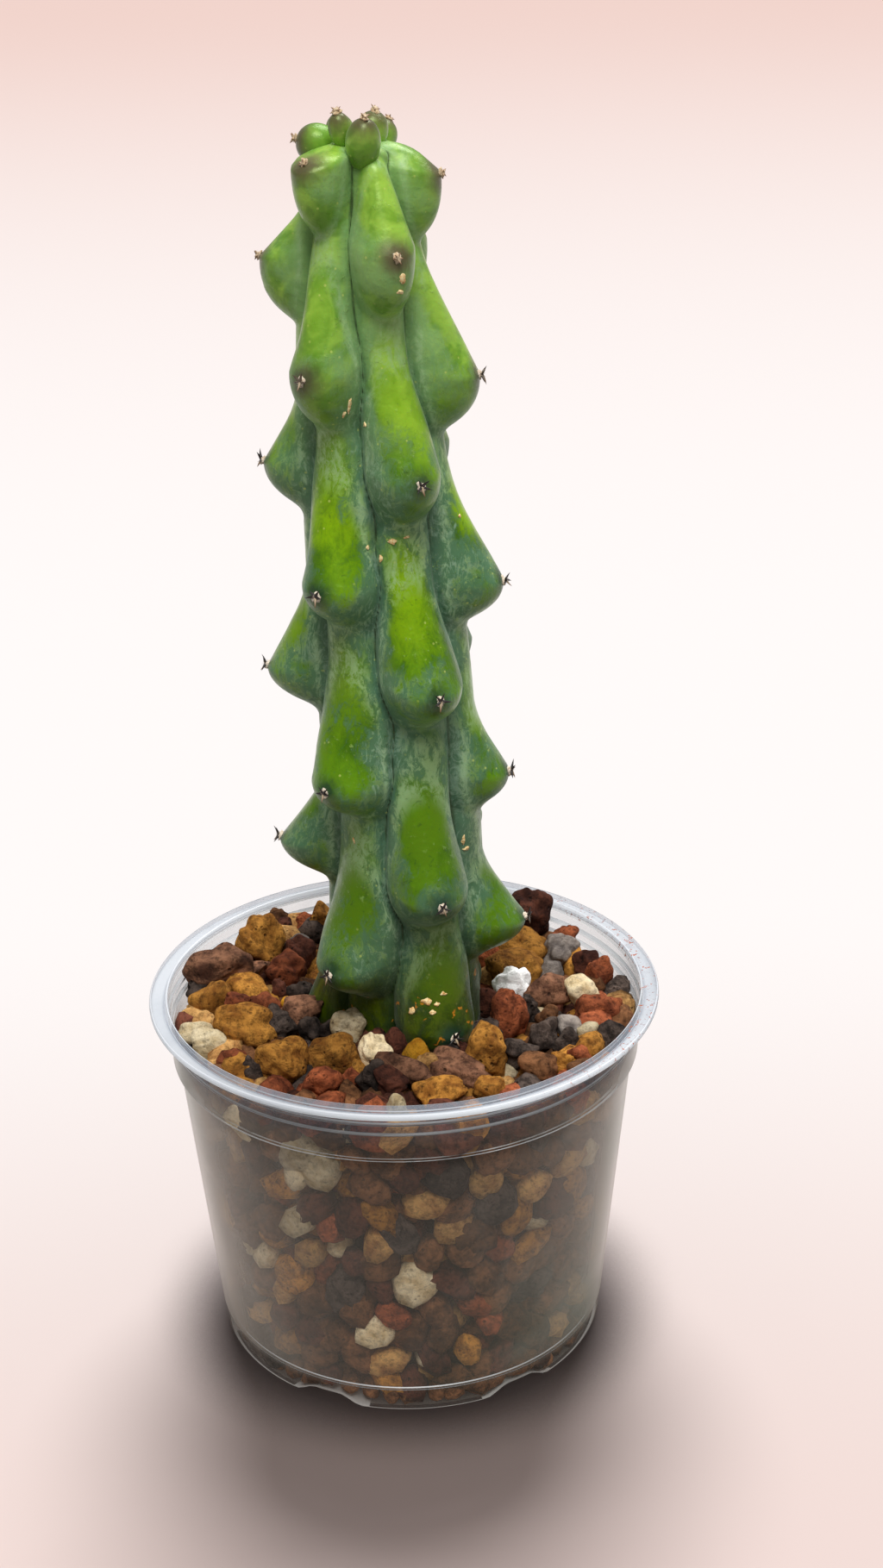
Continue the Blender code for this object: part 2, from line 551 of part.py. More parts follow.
def add_areole(index, place, outward, tools, rng):
    """Woolly pad sunk into a tip, with a few short spines rooted in it."""
    shape = bmesh.new()
    bmesh.ops.create_cone(shape, cap_ends=True, segments=AREOLE_SIDES, radius1=AREOLE_RADIUS,
                          radius2=AREOLE_TOP_SHARE * AREOLE_RADIUS, depth=2.0 * AREOLE_HEIGHT)
    pad = new_object(f"pad_{index}", finish_bmesh(shape, "pad"), tools)
    pad.rotation_mode = "QUATERNION"
    pad.rotation_quaternion = outward.to_track_quat("Z", "Y")
    pad.location = place
    first = rng.uniform(0.0, 360.0)
    for number in range(SPINE_COUNT):
        turn = math.radians(first + number * 360.0 / SPINE_COUNT)
        lean = math.radians(SPINE_SPREAD)
        local = Vector((math.sin(lean) * math.cos(turn), math.sin(lean) * math.sin(turn), math.cos(lean)))
        direction = outward.to_track_quat("Z", "Y") @ local
        shape = bmesh.new()
        bmesh.ops.create_cone(shape, cap_ends=True, segments=SPINE_SIDES, radius1=SPINE_RADIUS,
                              radius2=0.0, depth=SPINE_LENGTH)
        spine = new_object(f"spine_{index}_{number}", finish_bmesh(shape, "spine"), tools)
        spine.rotation_mode = "QUATERNION"
        spine.rotation_quaternion = direction.to_track_quat("Z", "Y")
        spine.location = place + direction * SPINE_LENGTH * (0.5 - SPINE_ROOTED)


def make_stem(collection, tools):
    """The living stem with its crown bulbs, areoles and spines as one body."""
    stem = new_object("cactus_stem", stem_mesh("cactus_stem"), collection)
    frames = tip_frames(stem)
    add_crown_bulbs(tools)
    rng = random.Random(GRAVEL_SEED)
    for index, (place, outward) in enumerate(frames):
        add_areole(index, place, outward, tools, rng)
    bpy.context.view_layer.update()
    combine(stem, tools, "UNION")
    smooth(stem, STEM_SHARP_ANGLE)
    return stem, frames


def stone_mesh(name, centre, size, turn, rng, subdivisions=1, swell=0.0):
    """Rough pebble: a ball with uneven corners, kept clear of the pot's wall."""
    shape = bmesh.new()
    bmesh.ops.create_icosphere(shape, subdivisions=subdivisions, radius=0.5)
    for vertex in shape.verts:
        uneven = rng.uniform(*STONE_UNEVEN)
        vertex.co = Vector((vertex.co.x * size[0], vertex.co.y * size[1], vertex.co.z * size[2])) * uneven
        vertex.co += vertex.co.normalized() * swell
        vertex.co.rotate(turn)
        vertex.co += centre
        flat = math.hypot(vertex.co.x, vertex.co.y)
        limit = inner_wall_radius(vertex.co.z)
        if flat > limit:
            vertex.co.x *= limit / flat
            vertex.co.y *= limit / flat
    return finish_bmesh(shape, name)


def loose_stone_mesh(name, swell=0.0):
    """One of the large stones lying loose on top; the same one for the same name."""
    centre, size, turn = LOOSE_STONES[name][:3]
    rng = random.Random(name)
    tilt = [rng.uniform(-LOOSE_TILT, LOOSE_TILT) for axis in range(2)]
    return stone_mesh(name, Vector(centre) * MM, Vector(size) * MM, Euler((*tilt, math.radians(turn))),
                      rng, 2, swell)


def bed_core_profile():
    """Half section of the plain heap of gravel behind its visible stones."""
    floor = FLOOR_HEIGHT + WALL + GAP
    bottom_radius = outer_wall_radius(floor) - WALL - BED_CORE_MARGIN
    top_radius = outer_wall_radius(BED_CORE_TOP) - WALL - BED_CORE_MARGIN
    return [(0.0, BED_CORE_TOP), (top_radius, BED_CORE_TOP), (bottom_radius, floor), (0.0, floor)]


def add_side_stones(tools, rng):
    """Rows of stones round the heap, pressed flat against the pot's wall."""
    floor = FLOOR_HEIGHT + WALL + GAP
    half_high = SIDE_STONE_SIZE[2] / 2.0
    rise = (BED_CORE_TOP - floor - 2.0 * half_high) / (SIDE_ROWS - 1)
    for row in range(SIDE_ROWS):
        for number in range(SIDE_STONES):
            shift = rng.uniform(-SIDE_STONE_SHIFT, SIDE_STONE_SHIFT)
            azimuth = (number + 0.5 * (row % 2) + shift) * 360.0 / SIDE_STONES
            height = floor + half_high + row * rise + rng.uniform(-SIDE_STONE_RISE, SIDE_STONE_RISE)
            radius = outer_wall_radius(height) - WALL - SIDE_STONE_SUNK * BED_CORE_MARGIN
            place = around(azimuth, radius, height)
            turn = Euler((0.0, 0.0, math.radians(azimuth)))
            grow = rng.uniform(*SIDE_STONE_GROW)
            size = [side * grow for side in SIDE_STONE_SIZE]
            mesh = stone_mesh("side_stone", place, size, turn, rng)
            for vertex in mesh.vertices:
                vertex.co.z = max(vertex.co.z, floor)
            new_object(f"side_stone_{row}_{number}", mesh, tools)


def add_top_stones(tools, rng):
    """Rings of uneven stones over the heap's top, left out under the large loose ones."""
    for radius, count in TOP_RINGS:
        for number in range(count):
            azimuth = (number + rng.uniform(-TOP_STONE_SHIFT, TOP_STONE_SHIFT)) * 360.0 / count
            height = TOP_STONE_HEIGHT + rng.uniform(*TOP_STONE_RISE)
            place = around(azimuth, radius + rng.uniform(-TOP_STONE_STRAY, TOP_STONE_STRAY), height)
            turn = Euler([rng.uniform(0.0, math.tau) for axis in range(3)])
            grow = rng.uniform(*TOP_STONE_GROW)
            size = [side * grow for side in TOP_STONE_SIZE]
            new_object(f"top_stone_{radius * 1000:.0f}_{number}",
                       stone_mesh("top_stone", place, size, turn, rng), tools)


def make_gravel(collection, tools, areoles):
    """Heap of gravel as one body, with plain holes for the stem and the large loose stones."""
    gravel = turned("gravel", bed_core_profile(), BED_CORE_SEGMENTS, collection)
    rng = random.Random(GRAVEL_SEED)
    add_side_stones(tools, rng)
    add_top_stones(tools, rng)
    combine(gravel, tools, "UNION")
    new_object("stem_hole", stem_mesh("stem_hole", STEM_CLEARANCE), tools)
    for name in LOOSE_STONES:
        new_object(f"seat_{name}", loose_stone_mesh(name, SEAT_CLEARANCE), tools)
    for index, place in enumerate(areole[0] for areole in areoles):
        if place.z < TOP_STONE_HEIGHT + 2.0 * TOP_STONE_SIZE[2]:
            shape = bmesh.new()
            bmesh.ops.create_icosphere(shape, subdivisions=1, radius=SPINE_LENGTH + AREOLE_RADIUS)
            room = new_object(f"spine_room_{index}", finish_bmesh(shape, "spine_room"), tools)
            room.location = place
    bpy.context.view_layer.update()
    combine(gravel, tools, "DIFFERENCE")
    keep_largest_body(gravel)
    smooth(gravel, STONE_SHARP_ANGLE)
    return gravel


def clear_scene():
    """Remove every object that is already there."""
    for item in list(bpy.data.objects):
        bpy.data.objects.remove(item)


def main():
    clear_scene()
    parts = bpy.data.collections.new("potted_boobie_cactus")
    tools = bpy.data.collections.new("cutters")
    bpy.context.scene.collection.children.link(parts)
    bpy.context.scene.collection.children.link(tools)

    pot = make_pot(parts, tools)
    pot.data.materials.append(material("clear_plastic", CLEAR_PLASTIC, PLASTIC_ROUGHNESS, PLASTIC_ALPHA))
    stem, areoles = make_stem(parts, tools)
    stem.data.materials.append(material("stem_green", STEM_GREEN, STEM_ROUGHNESS))
    gravel = make_gravel(parts, tools, areoles)
    gravel.data.materials.append(material("gravel_mix", GRAVEL_BROWN, STONE_ROUGHNESS))
    for name, loose in LOOSE_STONES.items():
        stone = new_object(name, loose_stone_mesh(name), parts)
        stone.data.materials.append(material(name, loose[3], STONE_ROUGHNESS))
        smooth(stone, STONE_SHARP_ANGLE)


if __name__ == "__main__":
    main()
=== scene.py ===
"""Looks of the potted boobie cactus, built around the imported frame.

Units are metres, +Z is up and the front faces -Y. Azimuths are degrees from the front,
positive to the right as seen from the front.
"""

import json
import math

import bmesh
import bpy
from bpy.props import FloatProperty, FloatVectorProperty, IntProperty, PointerProperty
from mathutils import Matrix, Vector
import numpy as np

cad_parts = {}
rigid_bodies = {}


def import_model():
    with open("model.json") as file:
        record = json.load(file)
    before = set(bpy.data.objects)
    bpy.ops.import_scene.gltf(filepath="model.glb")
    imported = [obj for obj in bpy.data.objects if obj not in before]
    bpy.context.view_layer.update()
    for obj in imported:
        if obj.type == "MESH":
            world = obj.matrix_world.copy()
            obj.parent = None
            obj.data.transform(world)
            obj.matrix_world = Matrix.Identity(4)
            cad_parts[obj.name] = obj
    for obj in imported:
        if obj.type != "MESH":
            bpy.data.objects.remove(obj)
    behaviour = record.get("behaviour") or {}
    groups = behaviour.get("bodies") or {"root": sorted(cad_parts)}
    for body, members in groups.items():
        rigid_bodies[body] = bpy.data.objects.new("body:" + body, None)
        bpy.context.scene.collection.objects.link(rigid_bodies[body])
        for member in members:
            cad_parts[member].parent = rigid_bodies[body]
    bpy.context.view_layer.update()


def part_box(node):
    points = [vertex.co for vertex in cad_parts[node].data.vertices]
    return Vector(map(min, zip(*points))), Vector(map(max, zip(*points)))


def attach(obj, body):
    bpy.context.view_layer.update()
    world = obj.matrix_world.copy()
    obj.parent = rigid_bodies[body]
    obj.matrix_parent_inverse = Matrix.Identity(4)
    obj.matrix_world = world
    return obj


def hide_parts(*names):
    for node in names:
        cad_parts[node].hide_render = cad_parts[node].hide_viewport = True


bl_info = {
    "name": "Potted boobie cactus",
    "version": (1, 0, 0),
    "blender": (4, 5, 0),
    "location": "3D View > Sidebar > Cactus",
    "description": "Builds a lumpy columnar cactus in a clear pot of mixed gravel",
    "category": "Object",
}

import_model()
MM = 0.001

# Pot
RIM_RADIUS = 60.0 * MM
RIM_ROUND = 0.7 * MM                # bevel on the rim's outer edge
POT_HEIGHT = 88.6 * MM
WALL = 0.8 * MM
FLANGE_THICKNESS = 1.7 * MM
FLANGE_WIDTH = 3.8 * MM
LIP_DROP = 0.2 * MM                 # the flange's underside falls this much towards its edge
LIP_ROUND = 0.5 * MM
INNER_RIM_INSET = 0.6 * MM
RING_STEP = 0.5 * MM
RING_STEP_HEIGHTS = (83.6 * MM, 80.8 * MM)
STEP_SLOPE = 0.3 * MM               # height over which a fine step is drawn
STACK_STEP_HEIGHT = 73.2 * MM       # the deeper step on which stacked pots rest
STACK_STEP = 1.3 * MM
STACK_SLOPE = 0.5 * MM
BASE_LINE_HEIGHT = 6.5 * MM
BASE_LINE_RADIUS = 46.9 * MM
BASE_LINE_STEP = 0.4 * MM           # small ledge at the base line
FLOOR_HEIGHT = 3.0 * MM
FOOT_OUTER_RADIUS = 45.4 * MM
FOOT_INNER_RADIUS = 36.0 * MM
FOOT_ROUND_OUT = 0.9 * MM           # bevel round the feet
FOOT_ROUND_UP = 1.2 * MM
FOOT_RISE_WIDTH = 2.0 * MM          # run of the slope from the floor down to the feet
FOOT_EDGE = 0.5 * MM                # the gaps are raised from this far inside the feet outward
FOOT_COUNT = 6
FOOT_AZIMUTH = 3.75
FOOT_HALF_ANGLE = 18.7
FOOT_RAMP_ANGLE = 7.5
FOOT_GAP_HEIGHT = 2.4 * MM
DRAIN_RADIUS = 2.6 * MM
DRAIN_CIRCLE = 23.0 * MM
DRAIN_COUNT = 6
DRILL_SIDES = 28
CORNER_REACH = 0.35 * MM            # distance from a corner at which its rounding starts
CORNER_POINTS = 4

# Stem
STEM_TOP = 286.0 * MM
STEM_FOOT = 48.0 * MM
STEM_BASE_X = 1.0 * MM
LEAN = 6.0 * MM
LEAN_START = 120.0 * MM
LEAN_END = 265.0 * MM
VALLEY_HEIGHTS = np.array([48.0, 60.0, 78.0, 110.0, 180.0, 215.0, 256.0, 280.0, 286.0]) * MM
VALLEY_RADII = np.array([8.0, 12.5, 13.5, 12.4, 12.0, 10.7, 8.4, 6.0, 5.6]) * MM
CROWN_DOME = 3.5 * MM
FOOT_DOME = 10.0 * MM
DOME_SAMPLES = 60                   # points of the plain section along its two round ends
SIDE_SAMPLES = 900                  # and between them
SMOOTH_FOOT_TOP = 68.0 * MM
LUMPY_FROM = 82.0 * MM
RIB_HEIGHT = 3.6 * MM
RIB_HALF_ANGLE = 31.5
LOBE_HEIGHT = 5.2 * MM
LOBE_HALF_ANGLE = 37.0
YOUTH_HEIGHTS = np.array([215.0, 240.0, 262.0]) * MM      # tips over which the three next rows change
NARROWINGS = np.array([0.50, 0.70, 0.62])   # share of a lobe's width that it loses up to its top
BELLY_FULLNESS = np.array([0.80, 0.60, 0.48])   # smaller is a fuller belly with a sharper crease
MELTS = np.array([5.0, 3.2, 1.8]) * MM      # height over which a tubercle melts into its rib
DOME_LIFT = 0.30                    # share of a lobe's rise that lifts the top of the crown
GROOVE = 1.0 * MM                   # depth of the fold between two ribs
GROOVE_WIDTH = 0.6 * MM             # rise over which the fold fades beside it
VALLEY_WIDTH = 2.4 * MM             # rise over which the waxy strip beside the fold fades
LIP = 0.25 * MM                     # height of the raised edges of that strip
LIP_PLACE = 2.0 * MM                # rise at which they stand
SHELF_HEIGHT = 282.5 * MM           # top of the highest tubercles
ARCH_LENGTH = 40.0 * MM             # from a tip up to the point of its arch
BELLY_HEIGHTS = np.array([100.0, 190.0, 235.0, 280.0]) * MM
BELLY_LENGTHS = np.array([12.0, 13.0, 15.5, 17.0]) * MM    # from a tip down to its crease
ARCH_POWER = 1.2                    # how late a lobe narrows on its way up
BELLY_POWER = 1.9                   # how late it falls off on its way down
BELLY_NARROWING = 0.7               # share of its squared width that it loses there
SHOULDER_DROP = 0.25                # share of its height that it loses up to its arch
SHOULDER_END = 0.8                  # share of the arch from which it sinks into the rib
NOSE_POWER = 1.25                   # how hollow the flanks and the ridge of a nose are
BLEND_RISE = 3.0 * MM               # rise over which a tubercle's painted values take over
DROOP = 2.2 * MM
SLOW_SWAY = 2.2                     # degrees by which the lumps stray sideways
SLOW_SWAY_PITCH = 8.5 * MM
SWAY_TWIST = 2.0                    # how far the slow wave shifts round the stem, in radians
SWAY_PHASE = 0.7
QUICK_SWAY = 1.3
QUICK_SWAY_PITCH = 4.1 * MM
SWAY_FREE_LENGTH = 9.0 * MM         # a tip stays in place and its lobe strays this far above it
ROW_SHARES = (0.0, 0.05, 0.97, 1.0)         # shares of the mesh's rows, laid more closely at the crown
SECTION_SHARES = (0.0, 0.03, 0.84, 1.0)     # and above the gravel, and the section's shares they reach
BULB_GRID = (30, 40)                # rings and columns of a young tubercle's mesh
BULB_FULLNESS = 0.10                # how much wider its outer end is
BULB_PAINTING = {"ridge": 0.75, "run": 0.5, "lit": 0.5, "crease": 0.0}

# Areoles and scars
LOWEST_AREOLE = 84.5 * MM           # the gravel hides lower ones
AREOLE_LIFT = 0.25                  # slope at which an areole looks upward
AREOLE_YOUNG = (225.0 * MM, 275.0 * MM)     # heights between which areoles turn young
TIP_REACH = 7.0 * MM                # the dark of a tip ends this far from its areole
PAD_GRID = (9, 14)
HAIR_GRID = (3, 3)
HAIR_RADIUS = 0.09 * MM
HAIR_BEND = 0.25                    # sideways bend as a share of the length
SPINE_BEND = 0.12
SPINE_ROOT = 0.5 * MM               # spines start this far out in the wool
UPRIGHT_SPINES = 2                  # the first ones of an areole lean less
SPINE_LEANS = (62.0, 76.0)
PALE_SPINE = 3                      # this one of each areole is pale
WOOL_SHAPE = (6.0, 0.10)            # sharpness of edges and height of lumps
SCAR_SHAPE = (6.0, 0.13)
SPINE_GRID = (6, 6)
SCAR_GRID = (8, 14)
SCAR_SHARE = 0.003                  # half the share of the section over which a scar's slope is taken
SCAR_ANGLE = 2.0                    # and half the angle
AREOLE_SEED = 21
SCAR_SEED = 5

# Tubercles of each rib from the top down: height of the tip, azimuth, reach from the stem's axis
# and length of the nose above the tip. Millimetres and degrees.
RIBS = (
    ((260.5, -97, 21.5, 9), (216, -97, 24.2, 14), (168.5, -97, 28.3, 20),
     (126, -97, 28.8, 15), (82, -97, 25, 18)),
    ((281, -40, 18.0, 6), (239, -34, 23, 26), (193, -33, 25.5, 26),
     (147.5, -37, 27, 26), (102, -40, 27.5, 26)),
    ((264, 23, 21, 22), (217, 25, 24.5, 26), (170, 23, 27, 26),
     (121, 18, 27.5, 26), (86, 25, 25, 22)),
    ((278, 80, 17.8, 6), (235.5, 83, 24.4, 28), (189.5, 83, 26.4, 26),
     (144, 83, 24.8, 15), (107, 83, 28, 15)),
    ((261, 146, 21, 18), (216, 146, 24, 22), (169, 146, 26, 22),
     (125, 146, 26.5, 22), (84, 146, 25, 20)),
    ((281, -157, 18.0, 6), (237, -157, 23.5, 24), (191, -157, 25.5, 24),
     (146, -157, 26.5, 22), (104, -157, 27, 22)),
)

# Youngest tubercles round the growing tip: centre, width, length, tilt outward, azimuth of the tilt.
CROWN_BULBS = (
    ((-12.5, 1.0, 283.8), 8.4, 10.0, 75, -90),
    ((-8.0, -5.0, 287.6), 4.8, 7.4, 10, -60),
    ((-3.4, -8.6, 285.2), 7.2, 11.2, 14, 20),
    ((-1.7, 0.0, 286.2), 6.6, 9.0, 12, 60),
    ((0.0, 5.2, 284.0), 6.4, 8.6, 35, 140),
    ((-8.2, 6.0, 285.0), 6.0, 8.6, 30, -150),
)

# Kinds of stone: two colours, width of their fine grain in mm, depth of pits, sharpness of edges,
# height of lumps and share among the stones that no photograph shows singly.
STONE_KINDS = {
    "ochre": ((198, 138, 60), (126, 77, 28), 1.5, 0.9, 9.0, 0.050, 0.14),
    "tan": ((212, 164, 100), (150, 102, 56), 1.4, 0.7, 8.0, 0.045, 0.12),
    "brown": ((134, 90, 58), (72, 45, 27), 1.6, 0.8, 9.0, 0.050, 0.36),
    "maroon": ((108, 62, 46), (56, 29, 22), 1.7, 1.0, 9.0, 0.060, 0.17),
    "red": ((172, 94, 58), (108, 54, 34), 1.5, 0.9, 9.0, 0.055, 0.06),
    "black": ((92, 78, 70), (34, 27, 24), 1.9, 1.4, 7.0, 0.080, 0.10),
    "cream": ((238, 220, 182), (198, 172, 126), 1.4, 0.5, 8.0, 0.045, 0.03),
    "grey": ((168, 156, 146), (104, 96, 92), 1.4, 0.3, 7.0, 0.030, 0.0),
    "yellow": ((214, 156, 42), (182, 118, 22), 1.0, 0.2, 5.0, 0.020, 0.0),
    "bark": ((148, 104, 78), (78, 50, 38), 1.9, 1.0, 12.0, 0.050, 0.0),
}

# Stones on top that the photograph shows: kind, centre, size, turn. Millimetres and degrees.
TOP_STONES = (
    ("brown", (-32.0, 42.5, 84.0), (5.5, 5.0, 5.5), 0), ("maroon", (-31.0, 38.5, 82.0), (6.5, 6.0, 7.5), 20),
    ("red", (-26.5, 40.5, 82.5), (6.5, 6.0, 7.0), 0), ("ochre", (-20.8, 42.0, 82.5), (8.5, 8.0, 11.5), 10),
    ("grey", (-26.4, 30.5, 84.0), (6.0, 5.0, 3.6), 0), ("maroon", (-26.1, 26.0, 81.5), (7.4, 6.6, 9.0), 0),
    ("red", (-28.9, 18.3, 82.3), (9.4, 8.4, 8.0), 15), ("maroon", (-29.7, 7.2, 83.2), (4.0, 4.0, 5.6), 0),
    ("black", (-25.0, 6.0, 83.4), (6.0, 5.0, 5.4), 0), ("ochre", (-38.2, 8.0, 82.0), (11.0, 9.0, 8.6), 10),
    ("bark", (-36.2, 15.6, 84.8), (7.6, 4.0, 3.0), 25), ("ochre", (-46.2, 3.4, 82.4), (9.4, 8.4, 10.0), 30),
    ("tan", (-48.4, -7.0, 82.2), (8.6, 7.6, 6.4), 0), ("red", (-39.4, -0.6, 84.1), (5.8, 4.8, 5.0), 0),
    ("red", (-32.8, -1.4, 83.9), (7.8, 6.0, 5.0), -10), ("yellow", (-27.2, -1.6, 84.4), (3.6, 3.2, 3.0), 0),
    ("bark", (-23.8, -4.4, 83.3), (9.6, 8.2, 6.0), 15), ("black", (-29.8, -9.8, 82.6), (9.0, 8.0, 8.4), 0),
    ("black", (-21.8, -12.4, 83.2), (5.2, 5.0, 5.4), 0), ("black", (-17.2, -12.6, 83.2), (5.4, 4.8, 5.4), 30),
    ("cream", (-48.4, -13.4, 83.4), (8.0, 6.0, 5.0), -10),
    ("cream", (-44.4, -19.0, 83.0), (8.0, 6.8, 7.0), 20),
    ("red", (-38.8, -25.7, 82.7), (7.6, 6.4, 6.0), 0), ("black", (-34.0, -29.4, 82.6), (4.8, 4.4, 6.6), 0),
    ("red", (-18.6, -35.0, 82.8), (9.0, 7.6, 6.6), 0), ("cream", (-12.9, -14.0, 84.0), (7.6, 6.8, 7.6), 0),
    ("maroon", (-1.7, -18.8, 82.4), (6.0, 5.0, 7.2), 0), ("maroon", (-6.6, -16.2, 82.8), (6.0, 5.0, 5.0), 0),
    ("bark", (-0.5, -31.0, 83.2), (17.0, 5.2, 5.0), -42), ("yellow", (2.8, -25.6, 84.0), (6.0, 5.6, 6.0), 0),
    ("tan", (5.0, -30.6, 83.4), (5.4, 4.8, 5.6), 0), ("bark", (12.2, -32.0, 82.6), (16.0, 8.6, 6.0), -40),
    ("ochre", (8.0, -41.0, 82.8), (11.0, 7.6, 5.4), 0), ("maroon", (-2.8, -38.2, 83.2), (7.0, 6.0, 6.4), 0),
    ("black", (-7.6, -34.4, 82.6), (6.2, 5.4, 7.4), 0), ("cream", (-1.4, -50.4, 83.2), (5.2, 4.4, 8.2), 0),
    ("ochre", (19.0, -40.4, 82.8), (6.6, 5.6, 5.0), 0), ("black", (19.6, -16.2, 83.0), (7.0, 6.4, 6.8), 0),
    ("maroon", (19.8, -2.0, 83.4), (5.6, 5.0, 7.0), 0), ("ochre", (27.2, 15.4, 83.8), (13.0, 10.0, 7.0), 20),
    ("ochre", (28.4, 24.0, 84.4), (12.6, 10.6, 8.4), 0), ("red", (20.9, 20.6, 83.6), (5.6, 5.0, 6.0), 0),
    ("red", (39.4, 28.6, 84.6), (6.4, 5.6, 5.6), 0), ("bark", (34.0, 3.8, 83.2), (10.4, 8.4, 7.4), 20),
    ("cream", (41.9, 2.2, 84.0), (7.2, 6.1, 7.0), 20), ("red", (46.6, 10.0, 84.2), (6.4, 6.0, 7.4), 0),
    ("maroon", (44.4, 16.0, 83.9), (7.0, 6.0, 6.4), 0), ("grey", (38.2, -14.8, 84.0), (6.0, 5.2, 4.8), 0),
    ("cream", (42.6, -17.2, 83.9), (5.6, 3.8, 3.8), 35), ("black", (32.0, -17.0, 82.8), (6.6, 6.0, 7.4), 0),
    ("black", (29.4, -5.4, 82.8), (5.0, 4.6, 7.2), 0), ("brown", (33.2, -9.4, 83.7), (5.0, 4.4, 5.2), 0),
    ("black", (37.2, -21.8, 83.0), (5.8, 5.2, 6.4), 0), ("black", (26.8, -25.4, 83.2), (7.6, 6.4, 5.8), 0),
    ("brown", (30.2, -32.0, 83.4), (8.0, 6.6, 5.2), 0), ("ochre", (35.6, -30.0, 83.6), (5.0, 4.2, 4.6), 0),
    ("red", (39.8, -27.6, 83.9), (5.2, 4.4, 4.2), 0), ("grey", (35.5, 12.9, 83.6), (5.2, 4.6, 5.2), 0),
    ("brown", (40.0, -33.8, 83.0), (6.0, 5.0, 4.6), 0), ("maroon", (12.0, -22.0, 82.4), (6.0, 5.4, 5.4), 0),
    ("black", (11.0, -24.6, 82.8), (5.0, 4.6, 4.8), 0), ("brown", (-41.0, 20.0, 82.0), (9.0, 8.0, 6.0), 0),
    ("black", (-50.0, 9.0, 81.6), (5.0, 5.0, 6.0), 0), ("red", (-12.0, -30.6, 81.4), (5.0, 4.6, 4.6), 0),
)
TOP_STONE_GROWTH = (1.14, 1.14, 1.28)
TOP_LAYERS = ((78.4 * MM, 6.8 * MM), (75.5 * MM, 8.0 * MM))     # level and spacing of the stones under them
WALL_INSETS = ((3.4 * MM, 1.0), (7.4 * MM, 0.85))   # distance from the wall and share of the spacing
WALL_ROWS = (5.0 * MM, 82.5 * MM)
STEM_CLEARANCE = 13.0 * MM          # the layers' stones leave this radius free for the stem
GOLDEN_ANGLE = math.radians(137.508)
SPIRAL_CROWDING = 1.25              # stones of a layer for each square of its spacing
SPIRAL_UNEVENNESS = 0.2             # shares of the spacing by which stones stray
ROW_PITCH = 0.86                    # height between two rows at the wall as a share of the spacing
ROW_UNEVENNESS = 0.28
ROW_STRAY = 0.3
WALL_GAP = 0.12 * MM                # stones keep this far from the wall
FLOOR_GAP = 0.1 * MM                # and this far from the floor
STONE_PLANES = 11                   # planes that cut a stone, and waves that roughen it
STONE_WAVES = 16
PLANE_DISTANCES = (0.55, 0.95)      # least and greatest distance of a plane from the middle
WAVE_PITCHES = (3.0, 15.0)          # least and greatest radians of a wave for each unit of length
FULL_WAVE_PITCH = 4.0               # a wave of this pitch is as high as the lumps
KNOB_CORE = 0.75                    # share of a stone's radius that is left under its knobs
KNOB_WIDTH = 0.12
NAMED_GRID = (40, 56)               # rings and columns of the stones' meshes
TOP_GRID = (22, 30)
LAYER_GRID = (8, 12)
WALL_GRID = (5, 8)
WALL_STONE = (5.0, 0.03)            # sharpness of edges and height of lumps of the stones at the wall
# painted light: the stones at the wall are painted lighter by this much tone
WALL_PAINTED_LIGHT = 0.5                     # they are this much lighter
FOOT_STONE = (5.0, 0.04)
FOOT_STONE_COUNT = 54
FOOT_STONE_LENGTH = 7.4 * MM
FOOT_STONE_SUNK = 0.6 * MM          # they start this far under the channel's floor, which flattens them
FOOT_STONE_OUT = 1.2 * MM           # and lie this far outside the channel's middle
# the dark heart is painted shade: a dark core seen through the gaps between the stones
HEART_INSET = 8.0 * MM              # the dark heart stands this far inside the wall
HEART_HEIGHTS = (4.2 * MM, 78.0 * MM)
HEART_GRID = (40, 72)
HEART_WAVE = 0.02                   # share of its radius by which it swells
HEART_WAVES_ROUND = 13.0
HEART_WAVES_UP = 0.9 / MM           # radians for each metre of height

# Stones with solids of their own: kind, slot, tone, and growth of the solid's box.
NAMED_LUMP = 0.055                  # height of their lumps
NAMED_RISE = 0.10                   # share of their height by which they are raised
NAMED_GROWTH = (1.12, 1.10, 1.30)
PERLITE = ((252, 252, 250), (240, 240, 238), 0.8, 0.10)
PERLITE_SHAPE = (5.0, 0.045, 0.26)  # sharpness of edges, height of lumps and height of knobs
NAMED_STONES = {
    "stone_brown_flake": ("bark", "stone_brown", 0.65, (1.40, 1.10, 1.60)),
    "stone_ochre_back_left": ("ochre", "stone_ochre", 0.65, NAMED_GROWTH),
    "stone_ochre_long": ("ochre", "stone_ochre", 0.65, NAMED_GROWTH),
    "stone_ochre_front_left": ("ochre", "stone_ochre", 0.65, NAMED_GROWTH),
    "stone_ochre_brown_front": ("ochre", "stone_ochre", 0.25, NAMED_GROWTH),
    "stone_cream_front": ("cream", "stone_cream", 1.10, NAMED_GROWTH),
    "stone_ochre_front_right": ("ochre", "stone_ochre", 0.65, NAMED_GROWTH),
    "stone_red_tall": ("red", "stone_red", 0.65, NAMED_GROWTH),
    # painted light: the perlite's tone is raised far above the others' to lighten it in the stem's shade
    "stone_white_perlite": ("perlite", "stone_white", 1.60, (1.12, 1.10, 1.25)),
    "stone_dark_back": ("maroon", "stone_dark", 0.35, NAMED_GROWTH),
    "stone_orange_flake": ("red", "stone_red", 0.65, NAMED_GROWTH),
    "stone_grey_right": ("grey", "stone_grey", 0.65, NAMED_GROWTH),
}

